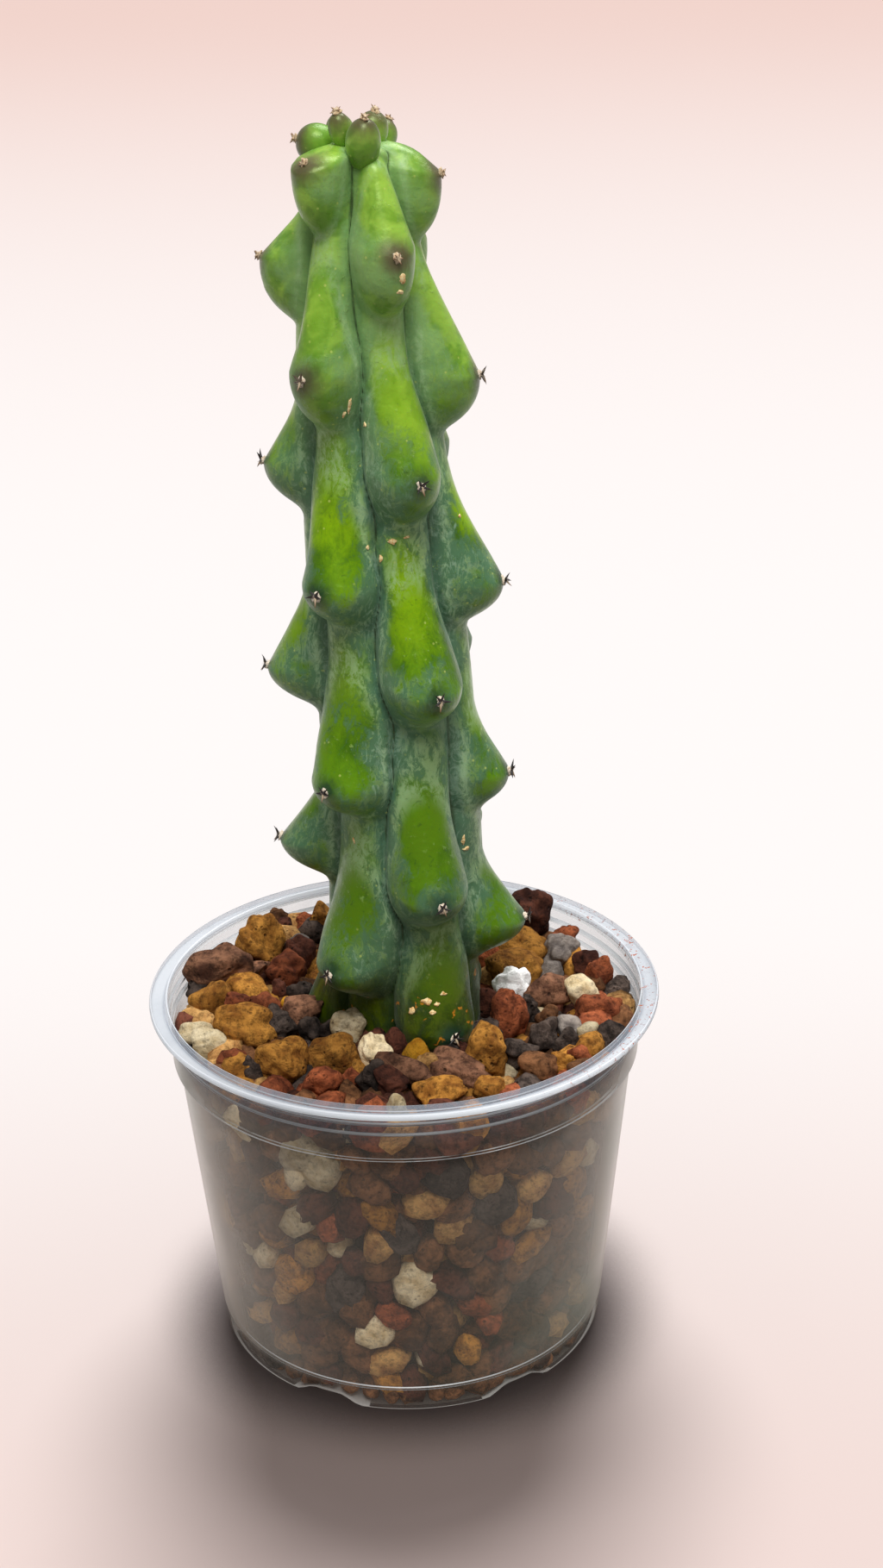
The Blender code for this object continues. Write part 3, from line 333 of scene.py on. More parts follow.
# Corky scars on the skin: height, azimuth, width and length. Millimetres and degrees.
SCARS = (
    (261.7, 26, 1.3, 1.9), (258.6, 25, 1.5, 0.9), (233.6, -12, 0.8, 3.2), (231.9, -16, 0.7, 1.6),
    (228.9, -2, 0.9, 0.9), (202.4, -8, 0.8, 0.9), (199.3, 1, 0.9, 1.6), (203.3, 11, 1.8, 1.1),
    (204.1, 22, 1.2, 0.6), (206.0, 71, 0.8, 0.8), (132.7, -38, 0.6, 1.6), (129.7, 57, 0.9, 2.2),
    (127.3, 59, 1.6, 0.9), (92.9, 3, 1.4, 1.8), (95.5, 12, 2.2, 1.5), (95.1, 18, 1.4, 1.0),
    (97.1, 23, 1.4, 0.9), (93.5, 15, 1.4, 1.1),
)

CAMERA_DISTANCE = 0.589966
CAMERA_ELEVATION = 23.867
CAMERA_ROLL = -1.191
CAMERA_TARGET = (0.009812, 0.0, 0.139697)
SENSOR = 36.0
FOCAL_PIXELS = 3000.0
PHOTO_HEIGHT = 1819.0
# painted contact shadow: the paper darkens over this reach under the pot
CONTACT_REACH = 30.0 * MM           # distance over which the pot darkens the paper closely
FLOOR_HALF_WIDTH = 6.0
FILL_SHARE = 1.52                   # strength of the light from the front as a share of the key light


def screen_colour(red, green, blue):
    """Linear colour of a screen colour given as 0 to 255."""
    share = np.array((red, green, blue)) / 255.0
    return tuple(float(value) for value in np.where(share <= 0.04045, share / 12.92,
                                                    ((share + 0.055) / 1.055) ** 2.4))


def step_between(value, low, high):
    """Smooth step from 0 at low to 1 at high."""
    part = np.clip((value - low) / (high - low), 0.0, 1.0)
    return part * part * (3.0 - 2.0 * part)


# Nodes of a material

class Nodes:
    """One material with its Principled shader, whose methods add nodes.

    A value is a number or a socket. A colour is a tuple of screen values from 0 to 255, a linear colour
    of the settings, or a socket. Positions are the object's own.
    """

    def __init__(self, name, **sockets):
        """Start the material and set uniform values on the shader's own sockets."""
        self.material = bpy.data.materials.new(name)
        self.material.use_nodes = True
        self.tree = self.material.node_tree
        self.shader = self.tree.nodes["Principled BSDF"]
        for key, value in sockets.items():
            self.shader.inputs[key.replace("_", " ")].default_value = value
        self.coords = self.add("TexCoord", {}).outputs["Object"]
        self.side, self.depth, self.height = self.add("SeparateXYZ", {"Vector": self.coords}).outputs

    def add(self, kind, inputs, **properties):
        """Node of a kind. Inputs are numbers, colours or sockets, by the input's name or number."""
        node = self.tree.nodes.new("ShaderNode" + kind)
        for name, value in properties.items():
            setattr(node, name, value)
        for key, value in inputs.items():
            if isinstance(value, bpy.types.NodeSocket):
                self.tree.links.new(value, node.inputs[key])
            else:
                node.inputs[key].default_value = value
        return node

    def noise(self, width, detail=4.0, rough=0.5, distortion=0.0, coords=None):
        """Fractal noise whose coarsest lumps are about a width apart, in mm."""
        return self.add("TexNoise", {"Vector": coords or self.coords, "Scale": 1000.0 / width,
                                     "Detail": detail, "Roughness": rough,
                                     "Distortion": distortion}).outputs["Fac"]

    def cells(self, width):
        """Distance from the centres of cells about a width across, in mm."""
        return self.add("TexVoronoi", {"Vector": self.coords, "Scale": 1000.0 / width}).outputs["Distance"]

    def mapped(self, scale, rotation=(0.0, 0.0, 0.0)):
        """Coordinates turned and stretched."""
        return self.add("Mapping", {"Vector": self.coords, "Rotation": rotation,
                                    "Scale": scale}).outputs["Vector"]

    def fit(self, value, low, high, to_low=0.0, to_high=1.0):
        """Value carried smoothly from one range to another."""
        return self.add("MapRange", {"Value": value, "From Min": low, "From Max": high, "To Min": to_low,
                                     "To Max": to_high}, interpolation_type="SMOOTHSTEP").outputs["Result"]

    def calc(self, operation, first, second=0.0, clamp=False):
        """Result of one Math node."""
        return self.add("Math", {0: first, 1: second}, operation=operation, use_clamp=clamp).outputs[0]

    def total(self, start, *terms):
        """A number plus several values, each times its factor."""
        for value, factor in terms:
            start = self.add("Math", {0: value, 1: factor, 2: start}, operation="MULTIPLY_ADD").outputs[0]
        return start

    def product(self, first, *others):
        """Several values multiplied."""
        for other in others:
            first = self.calc("MULTIPLY", first, other)
        return first

    def blend(self, factor, first, second, mode="MIX"):
        """Mix of two colours."""
        def full(colour):
            if isinstance(colour, bpy.types.NodeSocket):
                return colour
            return (*(screen_colour(*colour) if isinstance(colour, tuple) else colour), 1.0)
        return self.add("Mix", {0: factor, 6: full(first), 7: full(second)}, data_type="RGBA",
                        blend_type=mode).outputs[2]

    def painted(self, name):
        """Value that a mesh carries at each point."""
        return self.add("Attribute", {}, attribute_name=name).outputs["Fac"]

    def bump(self, height, depth, strength=1.0):
        """Normal of a relief whose depth is given in mm."""
        return self.add("Bump", {"Height": height, "Distance": depth * MM,
                                 "Strength": strength}).outputs["Normal"]

    def finish(self, **sockets):
        """Link sockets to the shader's inputs and return the material."""
        for key, value in sockets.items():
            self.tree.links.new(value, self.shader.inputs[key.replace("_", " ")])
        return self.material


# Meshes

def round_axis(radius, turn, height):
    """Points at radii from the upright axis, turned about it from the front by radians, at heights."""
    return np.stack(np.broadcast_arrays(radius * np.sin(turn), -radius * np.cos(turn), height), axis=-1)


def grid_quads(rows, columns):
    """Corner numbers of the quads of a grid that is closed round its columns."""
    row, column = np.meshgrid(np.arange(rows - 1), np.arange(columns), indexing="ij")
    after = (column + 1) % columns
    return np.stack((row * columns + column, (row + 1) * columns + column,
                     (row + 1) * columns + after, row * columns + after), axis=-1).reshape(-1, 4)


def ball_faces(rings, columns, count=1, start=0, order=1):
    """Faces of several balls, each ball's points being its rings in order and then its two poles.

    An order of -1 turns the faces over.
    """
    column = np.arange(columns)
    after = (column + 1) % columns
    last = (rings - 1) * columns
    pole = np.full(columns, rings * columns)
    upper = np.stack((pole, column, after), axis=-1)
    lower = np.stack((last + after, last + column, pole + 1), axis=-1)
    shift = start + np.arange(count)[:, None, None] * (rings * columns + 2)
    faces = []
    for part in (grid_quads(rings, columns), np.concatenate((upper, lower))):
        faces += (part[:, ::order] + shift).reshape(-1, part.shape[1]).tolist()
    return faces


def ball_places(rings, columns):
    """Share along the section and azimuth in degrees of each point of a ball, in ball_faces' order."""
    share = (np.arange(rings) + 1.0) / (rings + 1.0)
    azimuth = np.arange(columns) * 360.0 / columns
    share, azimuth = np.meshgrid(share, azimuth, indexing="ij")
    return np.append(share, (0.0, 1.0)), np.append(azimuth, (0.0, 0.0))


def ball_directions(rings, columns):
    """Unit directions of a ball's points."""
    share, azimuth = ball_places(rings, columns)
    return round_axis(np.sin(share * math.pi), np.radians(azimuth), np.cos(share * math.pi))


def placed(shapes, centres, sizes, turns):
    """Shapes of given sizes turned and put in place."""
    return np.einsum("cpk,cjk->cpj", shapes * sizes[:, None, :], turns) + centres[:, None, :]


def facing(directions):
    """Turning matrices that carry +Z to each of several directions."""
    return np.array([Vector(way).to_track_quat("Z", "Y").to_matrix() for way in directions])


def z_turns(degrees):
    """Turning matrices about the upright axis."""
    return np.array([Matrix.Rotation(math.radians(turn), 3, "Z") for turn in degrees])


def tumbled(rng, count):
    """Random turning matrices."""
    made = np.linalg.qr(rng.normal(size=(count, 3, 3)))[0]
    return made * np.sign(np.linalg.det(made))[:, None, None]


def new_piece(name, points, faces, material, painting=None):
    """Object of a mesh, smooth, riding on the part's body, with values painted on its points."""
    mesh = bpy.data.meshes.new(name)
    mesh.from_pydata(points.reshape(-1, 3).tolist(), [], faces)
    mesh.validate()
    for key, values in (painting or {}).items():
        layer = mesh.attributes.new(key, "FLOAT", "POINT")
        layer.data.foreach_set("value", np.asarray(values, np.float32).ravel())
    mesh.shade_smooth()
    mesh.materials.append(material)
    piece = bpy.data.objects.new(name, mesh)
    bpy.context.scene.collection.objects.link(piece)
    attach(piece, "root")
    return piece


# Pot

def outer_wall_radius(height):
    """Outer radius of the tapered wall between the base line and the stacking step."""
    top_radius = RIM_RADIUS - FLANGE_WIDTH - len(RING_STEP_HEIGHTS) * RING_STEP - STACK_STEP
    part = (height - BASE_LINE_HEIGHT) / (STACK_STEP_HEIGHT - BASE_LINE_HEIGHT)
    return BASE_LINE_RADIUS + part * (top_radius - BASE_LINE_RADIUS)


def outer_profile():
    """Outer half section of the pot from its feet up to the rim."""
    radius = outer_wall_radius(STACK_STEP_HEIGHT)
    made = [(FOOT_INNER_RADIUS, 0.0), (FOOT_OUTER_RADIUS, 0.0),
            (FOOT_OUTER_RADIUS + FOOT_ROUND_OUT, FOOT_ROUND_UP),
            (BASE_LINE_RADIUS - BASE_LINE_STEP, BASE_LINE_HEIGHT),
            (BASE_LINE_RADIUS, BASE_LINE_HEIGHT + STEP_SLOPE),
            (radius, STACK_STEP_HEIGHT), (radius + STACK_STEP, STACK_STEP_HEIGHT + STACK_SLOPE)]
    radius += STACK_STEP
    for height in reversed(RING_STEP_HEIGHTS):
        made += [(radius, height - STEP_SLOPE), (radius + RING_STEP, height)]
        radius += RING_STEP
    flange_bottom = POT_HEIGHT - FLANGE_THICKNESS
    return made + [(radius, flange_bottom), (RIM_RADIUS - LIP_ROUND, flange_bottom - LIP_DROP),
                   (RIM_RADIUS, flange_bottom + STEP_SLOPE), (RIM_RADIUS, POT_HEIGHT - RIM_ROUND),
                   (RIM_RADIUS - RIM_ROUND, POT_HEIGHT)]


def inner_profile():
    """Inner half section of the pot's side, from over its feet up to the flange."""
    radius = outer_wall_radius(STACK_STEP_HEIGHT) - WALL
    step_height = STACK_STEP_HEIGHT + WALL / 4.0
    inner_rim = RIM_RADIUS - FLANGE_WIDTH - INNER_RIM_INSET
    return [(FOOT_OUTER_RADIUS - WALL / 2.0, WALL), (BASE_LINE_RADIUS - WALL - STEP_SLOPE, BASE_LINE_HEIGHT),
            (radius, step_height), (radius + STACK_STEP, step_height + STACK_SLOPE),
            (inner_rim - STEP_SLOPE, POT_HEIGHT - FLANGE_THICKNESS), (inner_rim, POT_HEIGHT - STEP_SLOPE)]


def pot_profile():
    """Half section of the pot from the middle of its floor inside, over the rim, to the middle below."""
    floor = [(0.0, FLOOR_HEIGHT + WALL),
             (FOOT_INNER_RADIUS - FOOT_RISE_WIDTH + WALL / 2.0, FLOOR_HEIGHT + WALL),
             (FOOT_INNER_RADIUS + WALL / 2.0, WALL)]
    rim = [(RIM_RADIUS - FLANGE_WIDTH - INNER_RIM_INSET + WALL / 2.0, POT_HEIGHT)]
    below = [(FOOT_INNER_RADIUS - FOOT_RISE_WIDTH, FLOOR_HEIGHT), (0.0, FLOOR_HEIGHT)]
    return np.array(floor + inner_profile() + rim + outer_profile()[::-1] + below)


def rounded(profile, reach, steps):
    """Profile whose inner corners are rounded by arcs that start at most a reach before each corner.

    Each arc is the curve (1-t)^2 A + 2t(1-t) C + t^2 B through its corner's C pulled points A and B.
    """
    corner = profile[1:-1]
    pull = []
    for other in (profile[:-2], profile[2:]):
        run = other - corner
        length = np.linalg.norm(run, axis=1, keepdims=True)
        pull.append(corner + run * np.minimum(reach / length, 0.4))
    part = np.linspace(0.0, 1.0, steps)[None, :, None]
    arcs = ((1 - part) ** 2 * pull[0][:, None] + 2 * part * (1 - part) * corner[:, None]
            + part ** 2 * pull[1][:, None])
    return np.concatenate((profile[:1], arcs.reshape(-1, 2), profile[-1:]))


def foot_lift(azimuth):
    """How far the base is raised in the gaps between the feet, 0 under a foot."""
    pitch = 360.0 / FOOT_COUNT
    off_centre = np.abs((azimuth - FOOT_AZIMUTH + pitch / 2.0) % pitch - pitch / 2.0)
    return FOOT_GAP_HEIGHT * step_between(off_centre, FOOT_HALF_ANGLE, FOOT_HALF_ANGLE + FOOT_RAMP_ANGLE)


def pot_points(columns):
    """The pot's profile turned about the axis, with the base lifted between the feet."""
    profile = rounded(pot_profile(), CORNER_REACH, CORNER_POINTS)
    azimuth = np.arange(columns) * 360.0 / columns
    radius, height = profile[1:-1, 0][:, None], profile[1:-1, 1][:, None]
    share = np.clip((BASE_LINE_HEIGHT - height) / (BASE_LINE_HEIGHT - WALL), 0.0, 1.0)
    share = np.where(radius > FOOT_INNER_RADIUS - FOOT_EDGE, share, 0.0)
    rings = round_axis(radius, np.radians(azimuth), height + share * foot_lift(azimuth)).reshape(-1, 3)
    poles = round_axis(0.0, 0.0, profile[[0, -1], 1])
    return np.concatenate((rings, poles)), len(profile) - 2


def drill(piece, places, radius, depth):
    """Cut round holes through a piece with one Boolean."""
    tools = bpy.data.collections.new("drills")
    bpy.context.scene.collection.children.link(tools)
    for place in places:
        shape = bmesh.new()
        bmesh.ops.create_cone(shape, cap_ends=True, segments=DRILL_SIDES, radius1=radius, radius2=radius,
                              depth=depth)
        bmesh.ops.translate(shape, verts=shape.verts, vec=place)
        mesh = bpy.data.meshes.new("drill")
        shape.to_mesh(mesh)
        shape.free()
        tools.objects.link(bpy.data.objects.new("drill", mesh))
    cut = piece.modifiers.new("holes", "BOOLEAN")
    cut.operand_type = "COLLECTION"
    cut.collection = tools
    bpy.context.view_layer.update()
    graph = bpy.context.evaluated_depsgraph_get()
    mesh = bpy.data.meshes.new_from_object(piece.evaluated_get(graph))
    piece.modifiers.clear()
    piece.data = mesh
    for tool in list(tools.objects):
        bpy.data.objects.remove(tool)
    bpy.data.collections.remove(tools)


def pot_material(settings):
    """Hazy clear plastic: cloudy patches, a thicker look at grazing angles, faint dust, and pale ring lines
    that are painted highlights.

    These painted highlight lines along the rings, the rim and the scalloped feet also lean the normal
    upward, so that they catch the light from above.
    """
    nodes = Nodes("clear_plastic", Roughness=settings.roughness, IOR=1.49, Specular_IOR_Level=0.3)
    calc, fit, product, total, blend = nodes.calc, nodes.fit, nodes.product, nodes.total, nodes.blend
    side, depth, height = nodes.side, nodes.depth, nodes.height
    flange = fit(height, POT_HEIGHT - FLANGE_THICKNESS - 0.6 * MM, POT_HEIGHT - FLANGE_THICKNESS)
    upper = fit(height, 76.0 * MM, 84.0 * MM)
    foot = fit(height, BASE_LINE_HEIGHT, BASE_LINE_HEIGHT - 2.0 * MM)

    def line(value, level, half_width, core):
        """1 near a level, falling to 0 at half a width in mm. The core is the share that stays 1."""
        off = calc("ABSOLUTE", calc("SUBTRACT", value, level))
        return fit(off, half_width * MM, core * half_width * MM)

    # Painted highlights: lines along the ring steps, the rim and the scalloped feet
    highlight_lines = 0.0
    for level, half_width in ((BASE_LINE_HEIGHT, 0.26), (STACK_STEP_HEIGHT + 0.25 * MM, 0.42),
                              *((level - 0.15 * MM, 0.36) for level in RING_STEP_HEIGHTS),
                              (POT_HEIGHT - FLANGE_THICKNESS - LIP_DROP, 0.20)):
        highlight_lines = calc("MAXIMUM", highlight_lines, line(height, level, half_width, 0.65))
    from_axis = calc("SQRT", total(product(side, side), (depth, depth)))
    for level in (RIM_RADIUS - 0.35 * MM, RIM_RADIUS - FLANGE_WIDTH - 0.3 * MM):
        highlight_lines = calc("MAXIMUM", highlight_lines, product(line(from_axis, level, 0.20, 0.4), flange, 0.50))
    pitch = 360.0 / FOOT_COUNT
    azimuth = calc("ARCTAN2", side, product(depth, -1.0))
    azimuth = calc("FLOORED_MODULO", total(0.5 * pitch - FOOT_AZIMUTH, (azimuth, math.degrees(1.0))), pitch)
    off_centre = calc("ABSOLUTE", calc("SUBTRACT", azimuth, 0.5 * pitch))
    lifted = fit(off_centre, FOOT_HALF_ANGLE, FOOT_HALF_ANGLE + FOOT_RAMP_ANGLE, 0.0, FOOT_GAP_HEIGHT)
    feet_highlight = fit(calc("SUBTRACT", height, lifted), 0.85 * MM, 0.45 * MM)
    highlight_lines = calc("MAXIMUM", highlight_lines, product(feet_highlight, 0.45))

    # How opaque the plastic is
    aside = fit(calc("ABSOLUTE", side), 8.0 * MM, 36.0 * MM, 0.15, 1.0)
    patches = product(fit(nodes.noise(31.0, 5.0, 0.6, 0.8), 0.46, 0.72), aside)
    grazing = calc("POWER", nodes.add("LayerWeight", {"Blend": 0.30}).outputs["Facing"], 2.3)
    grazing = product(grazing, total(1.0, (upper, -0.74), (flange, -0.20), (foot, -0.85)))
    dust = product(fit(nodes.noise(1.1, 3.0, 0.7), 0.60, 0.66), fit(side, 22.0 * MM, 50.0 * MM), flange)
    opaque = total(settings.haze, (patches, 0.12), (grazing, 1.75), (flange, 0.20), (upper, 0.12),
                   (highlight_lines, 0.95))

    # Its colour with the near-white painted highlight lines, and their lean
    colour = blend(fit(nodes.noise(60.0, 2.0), 0.5, 0.75), settings.colour, (178, 184, 166))
    # painted highlight: the lines are painted near white over the plastic
    for mask, paint in ((upper, (184, 193, 206)), (flange, (160, 168, 180)), (highlight_lines, (246, 248, 250)),
                        (dust, (170, 84, 40))):
        colour = blend(mask, colour, paint)
    upward = nodes.add("CombineXYZ", {"Z": product(highlight_lines, 1.3)}).outputs[0]
    normal = nodes.add("NewGeometry", {}).outputs["Normal"]
    normal = nodes.add("VectorMath", {0: normal, 1: upward}).outputs[0]
    normal = nodes.add("VectorMath", {0: normal}, operation="NORMALIZE").outputs[0]
    opaque = calc("ADD", opaque, product(dust, 0.6), clamp=True)
    return nodes.finish(Base_Color=colour, Alpha=opaque, Normal=normal)


# Stem

def meridian():
    """Plain stem's half section from tip to foot: radius, height and length along it."""
    angle = np.linspace(0.0, math.pi / 2.0, DOME_SAMPLES)
    side_height = np.linspace(STEM_TOP - CROWN_DOME, STEM_FOOT + FOOT_DOME, SIDE_SAMPLES)
    side_radius = np.interp(side_height, VALLEY_HEIGHTS, VALLEY_RADII)
    radius = np.concatenate((side_radius[0] * np.sin(angle), side_radius[1:-1],
                             side_radius[-1] * np.cos(angle)))
    height = np.concatenate((STEM_TOP - CROWN_DOME * (1.0 - np.cos(angle)), side_height[1:-1],
                             STEM_FOOT + FOOT_DOME * (1.0 - np.sin(angle))))
    length = np.append(0.0, np.cumsum(np.hypot(np.diff(radius), np.diff(height))))
    return radius, height, length


MERIDIAN = meridian()


def tubercle(above, turn, reach, arch_length, narrowing, belly_length, fullness, nose_length):
    """Height of one tubercle, how near above its tip a point is, and how sunlit it is.

    A rounded lobe narrows upward to the point of an arch and rounds off downward. A pointed nose
    runs along its middle down to the tip. Across its width the lobe is a half ellipse. Its height
    drops a little up to its shoulder, and below the tip it is a power of 1 less a power of the share
    of the belly passed. The nose falls as a power of the share of its length that is left, and
    across as a power of the half ellipse.
    """
    upper = above >= 0.0
    up = np.clip(above / arch_length, 0.0, 1.0)
    down = np.clip(-above / belly_length, 0.0, 1.0)
    belly = (1.0 - down ** BELLY_POWER) ** fullness
    wide = np.where(upper, 1.0 - narrowing * up ** ARCH_POWER, np.sqrt(1.0 - BELLY_NARROWING * down ** 2))
    across = np.clip(np.abs(turn) / (LOBE_HALF_ANGLE * wide), 0.0, 1.0)
    shoulder = (1.0 - SHOULDER_DROP * up) * (1.0 - step_between(up, SHOULDER_END, 1.0))
    lobe = LOBE_HEIGHT * np.sqrt(1.0 - across ** 2) * np.where(upper, shoulder, belly)
    run = np.where(upper, (1.0 - np.clip(above / nose_length, 0.0, 1.0)) ** NOSE_POWER, belly)
    nose = (reach - LOBE_HEIGHT) * run * (1.0 - across ** 2) ** NOSE_POWER
    near = 1.0 - up
    lit = step_between(near, 0.04, 0.30) * (1.0 - 0.85 * step_between(near, 0.66, 0.95))
    return lobe + nose, near, np.where(upper, lit, lit * (1.0 - np.sqrt(down)))


def melted(first, second, melt):
    """The higher of two heights, with the corner between them filled where they differ by less than melt."""
    return np.maximum(first, second) + np.clip(melt - np.abs(first - second), 0.0, None) ** 2 / (4.0 * melt)


def sway(height, azimuth):
    """Degrees by which the lumps stray sideways: two slow waves up the stem that turn round it."""
    turn = np.radians(azimuth)
    slow = np.sin(height / SLOW_SWAY_PITCH + SWAY_TWIST * np.sin(2.0 * turn + SWAY_PHASE))
    return SLOW_SWAY * slow + QUICK_SWAY * np.sin(height / QUICK_SWAY_PITCH + 3.0 * turn)


def off_middle(azimuth, middle):
    """Degrees from a middle azimuth, -180 to 180."""
    return (azimuth - middle + 180.0) % 360.0 - 180.0


def rib_surface(tips, height, azimuth):
    """One rib with its tubercles: rise, painted ridge, run and lit, and largest share of a tubercle."""
    astray = sway(height, azimuth)
    levels = [tip[0] * MM for tip in reversed(tips)]
    middle = np.interp(height, levels, [tip[1] for tip in reversed(tips)]) + astray
    ridge = np.clip(1.0 - (off_middle(azimuth, middle) / RIB_HALF_ANGLE) ** 2, 0.0, 1.0)
    rise = RIB_HEIGHT * np.sqrt(ridge)
    run = lit = bulge = np.zeros_like(rise)
    for tip_height, tip_azimuth, tip_radius, nose in tips:
        level = tip_height * MM
        free = np.clip((height - level) / SWAY_FREE_LENGTH, 0.0, 1.0)
        turn = off_middle(azimuth, tip_azimuth) - astray * free
        reach = tip_radius * MM - np.interp(level, VALLEY_HEIGHTS, VALLEY_RADII)
        arch = min(ARCH_LENGTH, SHELF_HEIGHT - level)
        narrowing, fullness, melt = (np.interp(level, YOUTH_HEIGHTS, table)
                                     for table in (NARROWINGS, BELLY_FULLNESS, MELTS))
        under = np.interp(level, BELLY_HEIGHTS, BELLY_LENGTHS)
        lump, near, sunny = tubercle(height - level - DROOP, turn, reach, arch, narrowing, under, fullness,
                                     nose * MM)
        part = np.clip(0.5 + (lump - rise) / BLEND_RISE, 0.0, 1.0)
        run = run + part * (near - run)
        lit = lit + part * (sunny - lit)
        rise = melted(rise, lump, melt)
        bulge = np.maximum(bulge, lump / reach)
    return rise, (ridge, run, lit), bulge


def stem_surface(share, azimuth):
    """Points of the lumpy stem at shares along its section and azimuths, with the values painted on it.

    Each point starts on a plain turned stem and rises along that stem's normal by the highest of the
    ribs, and sags with its tubercle. Where two ribs are equally high, a thin groove is pressed in, and
    a low lip is raised a little beside it. The painted values are the ridge (1 along a rib's middle),
    the run (0 under the tubercle above, 1 at the tip), the lit (1 on the upper half of a tubercle) and
    the crease (1 where two ribs meet, fading over the waxy strip beside the groove).
    """
    radius, height, length = MERIDIAN
    place = share * length[-1]
    base_radius = np.interp(place, length, radius)
    base_height = np.interp(place, length, height)
    slope_out = np.interp(place, length, -np.gradient(height, length))
    slope_up = np.interp(place, length, np.gradient(radius, length))
    rise = np.zeros_like(base_radius + azimuth)
    second = bulge = ridge = run = lit = rise
    for tips in RIBS:
        own, own_values, own_bulge = rib_surface(tips, base_height, azimuth)
        bulge = np.maximum(bulge, own_bulge)
        wins = own > rise
        second = np.where(wins, rise, np.maximum(second, own))
        ridge, run, lit = np.where(wins, own_values, (ridge, run, lit))
        rise = np.maximum(rise, own)
    fade = step_between(base_height, SMOOTH_FOOT_TOP, LUMPY_FROM)
    fade = fade * step_between(STEM_TOP - base_height, 0.0, CROWN_DOME)
    apart = (rise - second) * fade
    lip = LIP * np.exp(-((apart - LIP_PLACE) / (0.5 * LIP_PLACE)) ** 2)
    rise = (rise + lip - GROOVE * np.exp(-apart / GROOVE_WIDTH)) * fade
    crease = np.exp(-apart / VALLEY_WIDTH) * fade
    up = base_height + DOME_LIFT * rise * slope_up - DROOP * bulge ** 2 * fade
    points = round_axis(base_radius + rise * slope_out, np.radians(azimuth), up)
    points[..., 0] += STEM_BASE_X - LEAN * step_between(up, LEAN_START, LEAN_END)
    return points, {"ridge": ridge, "run": run, "lit": lit, "crease": crease}


def share_at(height):
    """Share along the section at a height of the plain stem."""
    return np.interp(-np.asarray(height), -MERIDIAN[1], MERIDIAN[2]) / MERIDIAN[2][-1]


def crown_bulbs():
    """Centre, outward direction and size of each young tubercle at the growing tip."""
    centres, widths, lengths, tilts, azimuths = (np.array(column, float) for column in zip(*CROWN_BULBS))
    tilts = np.radians(tilts)
    ways = round_axis(np.sin(tilts), np.radians(azimuths), np.cos(tilts))
    return centres * MM, ways, np.stack((widths, widths, lengths), axis=-1) * MM


def bulb_points():
    """Egg-shaped young tubercles: a ball stretched along its tilt and fuller at its outer end."""
    centres, ways, sizes = crown_bulbs()
    shape = ball_directions(*BULB_GRID)
    shape[:, :2] *= 1.0 + BULB_FULLNESS * shape[:, 2:]
    return placed(shape, centres, 0.5 * sizes, facing(ways))


def areole_places():
    """Point, outward direction and youth, 0 to 1, of every areole above the gravel."""
    heights, azimuths = np.array([tip[:2] for tips in RIBS for tip in tips], float).T
    seen = heights * MM > LOWEST_AREOLE
    heights, azimuths = heights[seen] * MM, azimuths[seen]
    points = stem_surface(share_at(heights + DROOP), azimuths)[0]
    ways = round_axis(1.0, np.radians(azimuths), AREOLE_LIFT) / math.hypot(1.0, AREOLE_LIFT)
    centres, bulb_ways, sizes = crown_bulbs()
    return (np.concatenate((points, centres + 0.5 * sizes[:, 2:] * bulb_ways)),
            np.concatenate((ways, bulb_ways)),
            np.append(step_between(heights, *AREOLE_YOUNG), np.ones(len(centres))))


def near_tips(points):
    """1 at an areole, falling to 0 at the reach of its dark tip."""
    nearest = np.full(len(points), np.inf)
    for place in areole_places()[0]:
        nearest = np.minimum(nearest, np.linalg.norm(points - place, axis=-1))
    return np.clip(1.0 - nearest / TIP_REACH, 0.0, 1.0)


